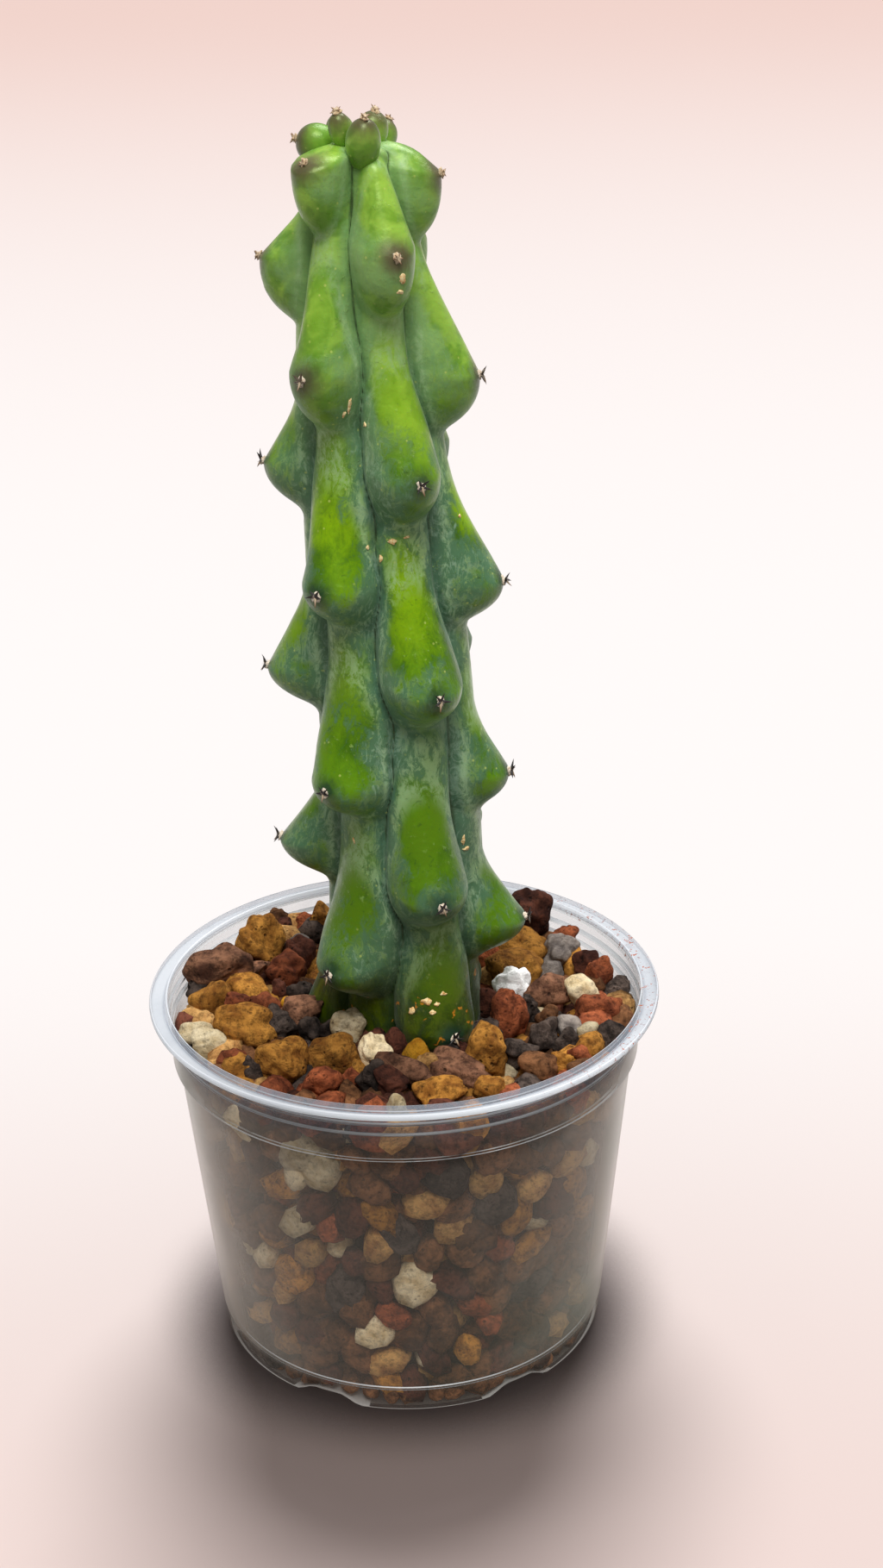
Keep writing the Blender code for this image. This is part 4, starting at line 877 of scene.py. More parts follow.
def skin_material(settings):
    """Waxy skin: yellow-green ridges with painted sunlight on them, deep green flanks, a brushed blue-grey
    veil of wax, dark tips, painted highlights beside the folds and painted shade in them and low down.
    """
    nodes = Nodes("cactus_skin", Subsurface_Weight=0.08, Subsurface_Scale=2.0 * MM,
                  Specular_IOR_Level=0.34, Specular_Tint=(0.75, 1.0, 0.35, 1.0), Coat_Weight=0.22,
                  Coat_Roughness=0.32, Sheen_Weight=0.12, Sheen_Roughness=0.4,
                  Sheen_Tint=(0.85, 1.0, 0.85, 1.0))
    calc, fit, product, total, blend = nodes.calc, nodes.fit, nodes.product, nodes.total, nodes.blend
    noise, height = nodes.noise, nodes.height
    ridge, run, crease = nodes.painted("ridge"), nodes.painted("run"), nodes.painted("crease")
    # Where the stem is young, low and old, and its noises
    young = fit(height, 205.0 * MM, 262.0 * MM)
    low = fit(height, 175.0 * MM, 110.0 * MM)
    old = fit(height, 110.0 * MM, 88.0 * MM)
    calm = total(1.0, (young, -0.60))
    long = nodes.mapped((1.0, 1.0, 0.55))
    broad = fit(noise(19.0, 2.0, 0.5, 0.4), 0.32, 0.68)
    other = fit(noise(12.0, 3.0, 0.5, 0.3), 0.32, 0.68)
    ragged = product(calc("SUBTRACT", noise(5.5, 10.0, 0.72, 0.7, long), 0.5), calm)
    brushed = product(calc("SUBTRACT", noise(2.6, 8.0, 0.78, 1.8, long), 0.5), calm)
    strokes = fit(total(0.5, (ragged, 1.2), (brushed, 2.4)), 0.42, 0.78)

    # Sun on the ridges and the veil of wax between them
    sun = product(fit(ridge, 0.34, 0.96), nodes.painted("lit"))
    sun = total(-0.42, (sun, 0.90), (broad, 0.66), (ragged, 1.2), (brushed, 1.2), (low, -0.10))
    veil = total(0.44, (ridge, -0.52), (sun, -0.50), (other, 0.62), (fit(run, 0.62, 0.92), 0.26),
                 (fit(run, 0.30, 0.05), 0.12), (fit(crease, 0.06, 0.40), 0.34), (ragged, -2.0),
                 (brushed, -2.0), (young, -0.20), (old, -0.50), (low, 0.06))
    veil = fit(veil, 0.26, 1.05)

    # Greens, and the wax over them with its brushed rim
    green = total(0.0, (broad, 0.45), (ridge, 0.35), (other, -0.15), (ragged, 1.5), (young, 0.10))
    green = blend(fit(green, 0.10, 0.75), settings.deep_green, settings.mid_green)
    ridge_green = blend(fit(height, 140.0 * MM, 205.0 * MM), (86, 126, 2), settings.ridge_green)
    green = blend(fit(sun, 0.02, 1.0), green, ridge_green)
    blotches = blend(fit(noise(8.5, 3.0, 0.55, 0.8), 0.40, 0.62), settings.young_green, (104, 152, 54))
    green = blend(product(young, 0.68), green, blotches)
    wax = blend(young, settings.bloom, (134, 174, 108))
    wax = blend(strokes, wax, blend(young, (146, 176, 152), (146, 186, 110)))
    colour = blend(product(veil, 0.76), green, wax)
    veil_rim = calc("MULTIPLY", product(veil, calc("SUBTRACT", 1.0, veil), strokes), 1.6, clamp=True)
    colour = blend(veil_rim, colour, (142, 176, 104))

    # Marks, painted one over the other, with painted highlights and painted shade among them
    valley = product(fit(crease, 0.30, 0.75), fit(height, 96.0 * MM, 110.0 * MM), total(1.0, (young, -0.75)))
    lip_highlight = product(fit(crease, 0.18, 0.34), fit(crease, 0.56, 0.38),
                    fit(total(0.5, (ragged, 1.5), (brushed, 1.5)), 0.36, 0.66))
    tilted = nodes.mapped((1.0, 1.0, 0.30), (0.25, 0.35, 0.0))
    brush = product(fit(noise(1.7, 6.0, 0.68, 1.4, tilted), 0.54, 0.66),
                    fit(noise(10.0, 3.0, 0.6), 0.46, 0.60), fit(veil, 0.10, 0.60), calm)
    raised = product(fit(noise(1.5, 5.0, 0.7), 0.58, 0.70), fit(noise(9.0, 3.0), 0.44, 0.62))
    dots = product(fit(nodes.cells(2.4), 0.15, 0.08), fit(noise(8.0, 2.0), 0.48, 0.58))
    spots = product(fit(noise(2.2, 5.0, 0.7, 0.5), 0.60, 0.68), calm)
    dark = fit(total(0.10, (nodes.painted("tip"), 1.0), (ragged, 1.3), (young, 0.12)), 0.30, 1.0)
    cork = product(fit(noise(3.2, 5.0, 0.6, 0.4), 0.63, 0.67), fit(height, 103.0 * MM, 92.0 * MM))
    for mask, share, paint in (
            (valley, 0.55, blend(strokes, (84, 118, 98), (122, 152, 132))),
            # painted highlight: a lighter band on the raised lips beside each fold
            (lip_highlight, 0.60, (160, 192, 144)), (brush, 0.60, (152, 184, 152)),
            (product(raised, calm), 0.55, (156, 190, 100)), (dots, 0.55, (196, 206, 110)),
            (spots, 0.45, (32, 70, 22)),
            (old, 0.86, blend(fit(ragged, -0.08, 0.10), (36, 48, 0), (76, 88, 2))),
            # painted shade: the stem darkens below 150 mm towards the gravel
            (fit(height, 150.0 * MM, 118.0 * MM), 0.26, (0, 0, 0)),
            (dark, 0.88, blend(young, (16, 46, 40), (88, 70, 58))),
            # painted shade: the fold where two ribs meet is darkened to a thin dark line
            (fit(crease, 0.82, 0.98), 0.85, (18, 44, 18)), (cork, 1.0, (186, 116, 26))):
        colour = blend(product(mask, share), colour, paint)

    rough = fit(total(0.0, (veil, 1.0), (brushed, 0.8)), 0.0, 0.8, 0.30, 0.52)
    relief = total(0.0, (veil, 0.3), (noise(1.2, 5.0, 0.6), 0.5), (raised, 0.5), (noise(6.0, 3.0), 4.0))
    return nodes.finish(Base_Color=colour, Roughness=rough, Normal=nodes.bump(relief, 0.22, 0.7))


def wool_material():
    """Felted wool of an areole: cream, with painted shade in its folds, golden while young."""
    nodes = Nodes("areole_wool", Roughness=0.95, Sheen_Weight=0.4)
    matted = nodes.noise(0.5, 5.0, 0.7, 1.0)
    # painted shade: the wool darkens where its matted relief is low, in its folds
    old_wool = nodes.blend(nodes.fit(matted, 0.32, 0.58), (176, 146, 116), (248, 234, 212))
    young_wool = nodes.blend(nodes.fit(matted, 0.35, 0.65), (176, 134, 88), (240, 220, 178))
    colour = nodes.blend(nodes.painted("young"), old_wool, young_wool)
    return nodes.finish(Base_Color=colour, Normal=nodes.bump(matted, 0.25))


def spine_material():
    """Horn of a spine: pale at its root, near black along its length."""
    nodes = Nodes("spine_horn", Roughness=0.45)
    along = nodes.total(0.0, (nodes.painted("along"), 1.0), (nodes.noise(0.8, 3.0), 0.2))
    dark = nodes.blend(nodes.fit(along, 0.05, 0.25), (110, 84, 62), (22, 14, 12))
    pale = nodes.blend(nodes.fit(along, 0.3, 1.0), (212, 190, 156), (140, 100, 70))
    return nodes.finish(Base_Color=nodes.blend(nodes.painted("pale"), dark, pale))


def cork_material():
    """Dry cork of a healed scar."""
    nodes = Nodes("cork_scar", Roughness=0.85)
    grain = nodes.noise(0.6, 4.0, 0.6)
    colour = nodes.blend(nodes.fit(grain, 0.35, 0.60), (214, 160, 90), (252, 228, 172))
    return nodes.finish(Base_Color=colour, Normal=nodes.bump(grain, 0.15))


# Stones

def stone_shapes(rng, count, grid, edge, lump, knobs=0.0):
    """Points of several stones that each fill a box one unit wide.

    A ball is cut by random planes, whose edges are rounded by taking a power mean of the planes'
    distances instead of the nearest. Random waves roughen it, and knobs swell it here and there.
    """
    directions = ball_directions(*grid)
    normals = rng.normal(size=(count, STONE_PLANES, 3))
    normals /= np.linalg.norm(normals, axis=-1, keepdims=True)
    distance = rng.uniform(*PLANE_DISTANCES, (count, 1, STONE_PLANES))
    near = np.einsum("pk,cnk->cpn", directions, normals)
    radius = (((np.clip(near, 0.0, None) / distance) ** edge).sum(axis=-1) + 1.0) ** (-1.0 / edge)
    pitch = rng.uniform(*WAVE_PITCHES, (count, STONE_WAVES, 1))
    waves = rng.normal(size=(count, STONE_WAVES, 3))
    waves *= pitch / np.linalg.norm(waves, axis=-1, keepdims=True)
    phase = rng.uniform(0.0, math.tau, (count, 1, STONE_WAVES))
    ripple = np.sin(np.einsum("pk,cnk->cpn", directions, waves) + phase)
    ripple = ripple * (FULL_WAVE_PITCH / pitch[:, None, :, 0])
    radius = radius * (1.0 + lump * ripple.sum(axis=-1))
    if knobs:
        swelling = np.exp(-((1.0 - near) / KNOB_WIDTH) ** 2).max(axis=-1)
        radius = radius * KNOB_CORE + knobs * swelling
    points = directions * radius[..., None]
    low, high = points.min(axis=1, keepdims=True), points.max(axis=1, keepdims=True)
    return (points - (low + high) / 2.0) / (high - low)


def inner_limit(height):
    """Radius of the pot's inner wall at a height, less a hair."""
    radii, heights = np.array(inner_profile()).T
    return np.interp(height, heights, radii) - WALL_GAP


def floor_limit(points):
    """Height of the pot's inner floor under each point, plus a hair. The floor is lower over the feet."""
    radius = np.hypot(points[..., 0], points[..., 1])
    azimuth = np.degrees(np.arctan2(points[..., 0], -points[..., 1]))
    channel = np.clip((radius - FOOT_INNER_RADIUS - WALL / 2.0) / FOOT_RISE_WIDTH + 1.0, 0.0, 1.0)
    return WALL + (1.0 - channel) * FLOOR_HEIGHT + channel * foot_lift(azimuth) + FLOOR_GAP


def inside_pot(points):
    """Points pressed inside the pot's wall and over its floor."""
    flat = np.hypot(points[..., 0], points[..., 1])
    squeeze = np.minimum(1.0, inner_limit(points[..., 2]) / np.maximum(flat, 1e-9))
    points[..., :2] *= squeeze[..., None]
    points[..., 2] = np.maximum(points[..., 2], floor_limit(points))
    return points


def stone_material(name, light, dark, grain, pits):
    """Porous stone: two tones in patches, painted shade in the hollows of its grain, dust in its grain,
    small pits darkened with painted shade, and its own tone for each stone, raised as painted light for some.
    """
    nodes = Nodes(name, Roughness=0.9, Specular_IOR_Level=0.15)
    fit, product, blend = nodes.fit, nodes.product, nodes.blend
    patch = nodes.noise(4.5, 5.0, 0.6, 0.5)
    fine = nodes.noise(grain, 6.0, 0.75)
    pit = product(fit(nodes.cells(1.1 * grain), 0.32, 0.08), fit(nodes.noise(3.0, 2.0), 0.42, 0.6))
    colour = blend(fit(patch, 0.30, 0.66), dark, light)
    # painted shade: the hollows of the fine grain are darkened
    crevice_shade = blend(min(0.66, 0.10 + 0.48 * pits), colour, (0, 0, 0))
    colour = blend(fit(fine, 0.38, 0.54), crevice_shade, colour)
    dusty = blend(0.45, colour, (255, 249.3, 237.4))
    colour = blend(product(fit(fine, 0.66, 0.78), 0.35), colour, dusty)
    # painted shade in the pits
    colour = blend(product(pit, min(0.75, 0.7 * pits)), colour, (25.5, 20, 17.9))
    # each stone's own tone, raised as painted light for the perlite and the stones at the wall and feet
    tone_and_light_share = fit(nodes.painted("tone_and_light"), 0.0, 2.0, 0.65, 1.85)
    grey = nodes.add("CombineColor", {"Red": tone_and_light_share, "Green": tone_and_light_share, "Blue": tone_and_light_share}).outputs["Color"]
    colour = blend(1.0, colour, grey, "MULTIPLY")
    relief = nodes.total(0.0, (fine, 0.8), (pit, -0.6 * pits), (patch, 1.2))
    return nodes.finish(Base_Color=colour, Normal=nodes.bump(relief, 1.0))


def side_stone_places(rng, inset, spacing):
    """Centres of stones in uneven rows just inside the pot's wall."""
    places = []
    for row, level in enumerate(np.arange(*WALL_ROWS, ROW_PITCH * spacing)):
        radius = outer_wall_radius(level) - WALL - inset
        count = int(math.tau * radius / spacing)
        stray = rng.uniform(-ROW_STRAY, ROW_STRAY, count)
        azimuth = (np.arange(count) + 0.5 * (row % 2) + stray) * math.tau / count
        height = level + rng.uniform(-ROW_UNEVENNESS, ROW_UNEVENNESS, count) * spacing
        places.append(round_axis(radius, azimuth, height))
    return np.concatenate(places)


def top_stone_places(rng, spacing, level):
    """Centres of stones laid in a spiral like a sunflower's seeds over the top of the gravel."""
    reach = inner_limit(level) - 0.5 * spacing
    count = int(math.pi * reach ** 2 / spacing ** 2 * SPIRAL_CROWDING)
    number = np.arange(count) + 0.5
    radius = reach * np.sqrt(number / count)
    turn = number * GOLDEN_ANGLE + math.pi / 2.0
    height = level + rng.uniform(-SPIRAL_UNEVENNESS, SPIRAL_UNEVENNESS, count) * spacing
    return round_axis(radius, turn, height)[radius > STEM_CLEARANCE]


# Settings

def colour_setting(name, description, colour):
    """Colour setting whose default is given in screen values."""
    return FloatVectorProperty(name=name, description=description, subtype="COLOR", size=3, min=0.0, max=1.0,
                               default=screen_colour(*colour))


class PotSettings(bpy.types.PropertyGroup):
    colour: colour_setting("Plastic", "Colour of the clear plastic's haze", (218, 208, 195))
    haze: FloatProperty(name="Haze", description="Least opacity of one side of the wall", default=0.022,
                        min=0.0, max=1.0, subtype="FACTOR")
    roughness: FloatProperty(name="Roughness", description="Roughness of the plastic", default=0.22,
                             min=0.0, max=1.0, subtype="FACTOR")
    columns: IntProperty(name="Columns", description="Steps round the pot", default=168, min=48, max=400)


class StemSettings(bpy.types.PropertyGroup):
    deep_green: colour_setting("Deep green", "Colour of the flanks", (50, 94, 0))
    mid_green: colour_setting("Green", "Colour between the flanks and ridges", (92, 138, 4))
    ridge_green: colour_setting("Ridge green", "Colour of the ridges", (134, 176, 0))
    young_green: colour_setting("Young green", "Colour near the growing tip", (166, 208, 86))
    bloom: colour_setting("Bloom", "Colour of the wax on the skin", (84, 124, 96))
    rows: IntProperty(name="Rows", description="Steps along the stem", default=372, min=60, max=600)
    columns: IntProperty(name="Columns", description="Steps round the stem", default=252, min=40, max=400)
    spines: IntProperty(name="Spines", description="Spines on each areole", default=5, min=1, max=9)
    hairs: IntProperty(name="Hairs", description="Tufts of wool on each areole", default=26, min=0, max=60)


class GravelSettings(bpy.types.PropertyGroup):
    spacing: FloatProperty(name="Stone spacing", description="Distance between stones at the wall",
                           default=8.6 * MM, min=4.0 * MM, max=20.0 * MM, unit="LENGTH", subtype="DISTANCE")
    seed: IntProperty(name="Seed", description="Seed of every random draw for the stones", default=7, min=0)


class StageSettings(bpy.types.PropertyGroup):
    floor: colour_setting("Floor", "Colour of the floor", (228, 224, 223))
    floor_edge: colour_setting("Floor edge", "Colour of the floor in front and far behind", (213, 185, 177))
    key: FloatProperty(name="Key light", description="Strength of the soft light from above and behind",
                       default=1.9, min=0.0)
    floor_light: FloatProperty(name="Floor light", description="Strength of the light on the floor alone",
                               default=3.72, min=0.0)
    world: FloatProperty(name="Ambient", description="Strength of the light from all round", default=0.30,
                         min=0.0)


# Operators

class CACTUS_OT_pot(bpy.types.Operator):
    """Build the clear pot"""
    bl_idname = "cactus.pot"
    bl_label = "Pot"

    def execute(self, context):
        settings = context.scene.cactus_pot
        points, rings = pot_points(settings.columns)
        faces = ball_faces(rings, settings.columns, order=-1)
        pot = new_piece("pot_clear", points, faces, pot_material(settings))
        places = round_axis(DRAIN_CIRCLE, np.arange(DRAIN_COUNT) * math.tau / DRAIN_COUNT, FLOOR_HEIGHT)
        places = [Vector(place) for place in places] + [Vector((0.0, 0.0, FLOOR_HEIGHT))]
        drill(pot, places, DRAIN_RADIUS, 6.0 * WALL)
        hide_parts("pot")
        return {"FINISHED"}


class CACTUS_OT_stem(bpy.types.Operator):
    """Build the lumpy stem and its young crown"""
    bl_idname = "cactus.stem"
    bl_label = "Stem"

    def execute(self, context):
        settings = context.scene.cactus_stem
        skin = skin_material(settings)
        share, azimuth = ball_places(settings.rows, settings.columns)
        points, painting = stem_surface(np.interp(share, ROW_SHARES, SECTION_SHARES), azimuth)
        stem = new_piece("stem_skin", points, ball_faces(settings.rows, settings.columns), skin,
                         {**painting, "tip": near_tips(points)})
        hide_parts("cactus_stem")

        bulbs = bulb_points()
        flat = bulbs.reshape(-1, 3)
        painting = {key: np.full(len(flat), value) for key, value in BULB_PAINTING.items()}
        new_piece("crown_bulbs", flat, ball_faces(*BULB_GRID, len(bulbs)), skin,
                  {**painting, "tip": near_tips(flat)})
        return {"FINISHED"}


class CACTUS_OT_areoles(bpy.types.Operator):
    """Build the woolly areoles with their spines"""
    bl_idname = "cactus.areoles"
    bl_label = "Areoles and spines"

    def execute(self, context):
        settings = context.scene.cactus_stem
        rng = np.random.default_rng(AREOLE_SEED)
        places, ways, youth = areole_places()
        turns = facing(ways)
        wool = wool_material()
        self.pads(rng, places, turns, youth, wool)
        self.hairs(rng, places, turns, youth, wool, settings.hairs)
        self.spines(rng, places + SPINE_ROOT * ways, turns, youth, settings.spines)
        return {"FINISHED"}

    def pads(self, rng, places, turns, youth, wool):
        """Cushion of wool on each areole, smaller where it is young."""
        shapes = stone_shapes(rng, len(places), PAD_GRID, *WOOL_SHAPE)
        sizes = np.stack((2.2 - 0.3 * youth, 2.4 + 0.1 * youth, 1.3 - 0.2 * youth), -1) * MM
        pads = placed(shapes, places, sizes, turns)
        new_piece("areole_wool", pads, ball_faces(*PAD_GRID, len(pads)), wool,
                  {"young": np.repeat(youth, pads.shape[1])})

    def hairs(self, rng, places, turns, youth, wool, number):
        """Tufts of hair that stand out of each cushion."""
        spread = np.radians(rng.uniform(5.0, 75.0, (len(places), number)))
        ways = fanned(spread, rng.uniform(0.0, math.tau, spread.shape), turns)
        young = np.repeat(youth, number)
        long = rng.uniform(0.9, 1.5, len(ways)) * MM * (1.0 - 0.15 * young)
        roots = np.repeat(places, number, axis=0)
        hairs = cones(roots, ways, long, np.full(len(ways), HAIR_RADIUS), HAIR_GRID, HAIR_BEND, rng)
        new_piece("areole_hairs", hairs, ball_faces(*HAIR_GRID, len(hairs), order=-1), wool,
                  {"young": np.repeat(young, hairs.shape[1])})

    def spines(self, rng, places, turns, youth, number):
        """Spines round each cushion. One of them is paler, and so are all that are young."""
        order = np.tile(np.arange(number), (len(places), 1))
        lean = np.where(order < UPRIGHT_SPINES, *SPINE_LEANS) + rng.uniform(-8.0, 8.0, order.shape)
        swing = np.radians(order * 360.0 / number + 60.0 + rng.uniform(-18.0, 18.0, order.shape))
        ways = fanned(np.radians(lean), swing, turns)
        young = np.repeat(youth, number)
        long = rng.uniform(1.9, 2.8, len(ways)) * MM * (1.0 - 0.5 * young)
        thick = rng.uniform(0.28, 0.40, len(ways)) * MM
        roots = np.repeat(places, number, axis=0)
        spines = cones(roots, ways, long, thick, SPINE_GRID, SPINE_BEND, rng)
        steps, sides = SPINE_GRID
        along = np.append(np.repeat(np.arange(steps) / steps, sides), (0.0, 1.0))
        pale = np.maximum(young, np.where(order.ravel() == PALE_SPINE, 0.8, 0.0))
        new_piece("areole_spines", spines, ball_faces(*SPINE_GRID, len(spines), order=-1),
                  spine_material(),
                  {"along": np.tile(along, len(spines)), "pale": np.repeat(pale, spines.shape[1])})


def fanned(lean, swing, turns):
    """Unit ways that lean by radians from the way out of each areole and swing round it."""
    local = np.stack((np.sin(lean) * np.cos(swing), np.sin(lean) * np.sin(swing), np.cos(lean)), -1)
    return np.einsum("chk,cjk->chj", local, turns).reshape(-1, 3)


def cones(roots, ways, lengths, radii, grid, bend, rng):
    """Points of slender cones from roots along unit ways, bent sideways as the square of the length.

    Their radius falls as 1 - length share^1.5. The poles after the rings are the root and the tip.
    """
    steps, sides = grid
    along = np.arange(steps) / steps
    turn = np.arange(sides) * math.tau / sides
    ring = np.stack((np.cos(turn), np.sin(turn), np.zeros(sides)), -1)
    frames = facing(ways)
    curl = rng.normal(size=(len(roots), 2)) * bend
    curl = np.einsum("ck,cjk->cj", curl, frames[:, :, :2])
    spine = ways[:, None, :] * along[:, None] + curl[:, None, :] * along[:, None] ** 2
    spine = roots[:, None, :] + spine * lengths[:, None, None]
    rings = np.einsum("sk,cjk->csj", ring, frames) * radii[:, None, None]
    body = spine[:, :, None, :] + rings[:, None] * (1.0 - along ** 1.5)[None, :, None, None]
    tips = roots + (ways + curl) * lengths[:, None]
    return np.concatenate((body.reshape(len(roots), -1, 3), roots[:, None], tips[:, None]), axis=1)


class CACTUS_OT_scars(bpy.types.Operator):
    """Build the corky scars on the skin"""
    bl_idname = "cactus.scars"
    bl_label = "Scars"

    def execute(self, context):
        rng = np.random.default_rng(SCAR_SEED)
        height, azimuth, width, length = np.array(SCARS, float).T
        share = share_at(height * MM)

        def skin(lower=0.0, right=0.0):
            return stem_surface(share + lower, azimuth + right)[0]
        ways = np.cross(skin(right=SCAR_ANGLE) - skin(right=-SCAR_ANGLE),
                        skin(lower=-SCAR_SHARE) - skin(lower=SCAR_SHARE))
        ways /= np.linalg.norm(ways, axis=-1, keepdims=True)
        shapes = stone_shapes(rng, len(share), SCAR_GRID, *SCAR_SHAPE)
        sizes = np.stack((1.2 * width, 1.2 * length, 0.3 + 0.3 * width), -1) * MM
        scars = placed(shapes, skin(), sizes, facing(ways))
        new_piece("skin_scars", scars, ball_faces(*SCAR_GRID, len(scars)), cork_material())
        return {"FINISHED"}


class CACTUS_OT_gravel(bpy.types.Operator):
    """Build the gravel: the large loose stones, the top layer and the stones behind the wall"""
    bl_idname = "cactus.gravel"
    bl_label = "Gravel"

    def execute(self, context):
        settings = context.scene.cactus_gravel
        rng = np.random.default_rng(settings.seed)
        materials = {kind: stone_material(f"stone_{kind}", *row[:4]) for kind, row in STONE_KINDS.items()}
        materials["perlite"] = stone_material("stone_perlite", *PERLITE)
        self.named_stones(rng, materials)
        layers = self.layers(rng, settings.spacing)
        pieces = [self.one_kind(rng, index, layers, materials) for index in range(len(STONE_KINDS))]
        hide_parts("gravel")
        self.foot_stones(materials["brown"], settings.seed)
        self.heart(materials["maroon"])
        return {"FINISHED"}

    def named_stones(self, rng, materials):
        """Stones with solids of their own, each a little larger and higher than its solid."""
        for name, (kind, slot, tone_and_light, growth) in NAMED_STONES.items():
            low, high = (np.array(corner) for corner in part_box(name))
            look = PERLITE_SHAPE if kind == "perlite" else (STONE_KINDS[kind][4], NAMED_LUMP)
            shapes = stone_shapes(rng, 1, NAMED_GRID, *look)
            size = (high - low)[None] * np.array(growth)
            middle = (low + high)[None] / 2.0 + size * np.array((0.0, 0.0, NAMED_RISE))
            points = inside_pot(placed(shapes, middle, size, z_turns([0.0])))
            stone = new_piece(f"{name}_detail", points, ball_faces(*NAMED_GRID), materials[kind],
                              {"tone_and_light": np.full(points.shape[1], tone_and_light)})
            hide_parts(name)

    def layers(self, rng, spacing):
        """Layers of the gravel: centres, sizes, turns and kinds of their stones, and a stone's mesh grid."""
        kinds = list(STONE_KINDS)
        shares = np.array([row[6] for row in STONE_KINDS.values()])

        def scattered(centres, gap, least, most, grid):
            sizes = gap * rng.uniform(least, most, (len(centres), 3))
            turns = tumbled(rng, len(centres))
            return centres, sizes, turns, rng.choice(len(kinds), len(centres), p=shares / shares.sum()), grid
        kind, centre, size, turn = zip(*TOP_STONES)
        made = [(np.array(centre) * MM, np.array(size) * np.array(TOP_STONE_GROWTH) * MM, z_turns(turn),
                 np.array([kinds.index(name) for name in kind]), TOP_GRID)]
        for level, gap in TOP_LAYERS:
            made.append(scattered(top_stone_places(rng, gap, level), gap, 0.75, 1.45, LAYER_GRID))
        for inset, share in WALL_INSETS:
            gap = share * spacing
            made.append(scattered(side_stone_places(rng, inset, gap), gap, 0.7, 1.5, WALL_GRID))
        return made

    def one_kind(self, rng, index, layers, materials):
        """Piece of all stones of one kind. The stones at the wall have plainer shapes and are lightened
        with painted light.
        """
        kind = list(STONE_KINDS)[index]
        points, faces, tone_and_light_values, start = [], [], [], 0
        for centres, sizes, turns, kinds, grid in layers:
            chosen = kinds == index
            count = int(chosen.sum())
            if not count:
                continue
            plain = grid == WALL_GRID
            shapes = stone_shapes(rng, count, grid, *(WALL_STONE if plain else STONE_KINDS[kind][4:6]))
            made = inside_pot(placed(shapes, centres[chosen], sizes[chosen], turns[chosen]))
            points.append(made.reshape(-1, 3))
            faces += ball_faces(*grid, count, start)
            # painted light: the stones at the wall get a higher tone, which lightens them
            tone_and_light = rng.uniform(0.0, 1.0, count) + (WALL_PAINTED_LIGHT if plain else 0.0)
            tone_and_light_values.append(np.repeat(tone_and_light, made.shape[1]))
            start += len(points[-1])
        return new_piece(f"gravel_{kind}", np.concatenate(points), faces, materials[kind],
                         {"tone_and_light": np.concatenate(tone_and_light_values)})

    def foot_stones(self, material, seed):
        """Small stones that lie in the channel over the pot's feet, lightened with painted light."""
        rng = np.random.default_rng(seed + 1)
        count = FOOT_STONE_COUNT
        azimuth = (np.arange(count) + rng.uniform(-0.2, 0.2, count)) * 360.0 / count
        low = foot_lift(azimuth) - FOOT_STONE_SUNK
        high = BASE_LINE_HEIGHT + rng.uniform(-0.4, 1.2, count) * MM
        radius = (FOOT_INNER_RADIUS + FOOT_OUTER_RADIUS) / 2.0 + FOOT_STONE_OUT
        centres = round_axis(radius, np.radians(azimuth), (low + high) / 2.0)
        wide = math.tau * radius / count * rng.uniform(0.9, 1.3, count)
        sizes = np.stack((wide, np.full(count, FOOT_STONE_LENGTH), high - low), axis=-1)
        shapes = stone_shapes(rng, count, LAYER_GRID, *FOOT_STONE)
        points = inside_pot(placed(shapes, centres, sizes, z_turns(azimuth)))
        # painted light: these tones run higher than other stones', which lightens them
        new_piece("gravel_foot", points, ball_faces(*LAYER_GRID, count), material,
                  {"tone_and_light": np.repeat(rng.uniform(0.4, 1.8, count), points.shape[1])})

    def heart(self, material):
        """Dark heart behind the stones, which stands in for the shade between them: a turned shape with a low
        wave round it and up it.
        """
        rings, columns = HEART_GRID
        heights = np.linspace(*HEART_HEIGHTS, rings)[::-1, None]
        turn = np.arange(columns) * math.tau / columns
        uneven = 1.0 + HEART_WAVE * np.sin(turn * HEART_WAVES_ROUND + heights * HEART_WAVES_UP)
        points = round_axis((inner_limit(heights) - HEART_INSET) * uneven, turn, heights).reshape(-1, 3)
        points = np.concatenate((points, round_axis(0.0, 0.0, heights[[0, -1], 0])))
        new_piece("gravel_heart", points, ball_faces(*HEART_GRID), material,
                  {"tone_and_light": np.zeros(len(points))})


def paper_material(settings):
    """Pale paper, more coloured in front and far behind, with a painted contact shadow close under the pot.
    """
    nodes = Nodes("floor_paper", Roughness=0.9)
    edge = nodes.calc("MAXIMUM", nodes.fit(nodes.depth, 0.35, 2.6),
                      nodes.fit(nodes.depth, 0.22, -0.13, 0.0, 0.68))
    paper = nodes.blend(edge, settings.floor, settings.floor_edge)
    # painted contact shadow: the paper darkens where ambient occlusion finds the pot close by
    open_air = nodes.add("AmbientOcclusion", {"Distance": CONTACT_REACH}).outputs["AO"]
    colour = nodes.blend(nodes.fit(open_air, 0.92, 0.5), paper, (129.1, 126.4, 126.4), "MULTIPLY")
    return nodes.finish(Base_Color=colour)


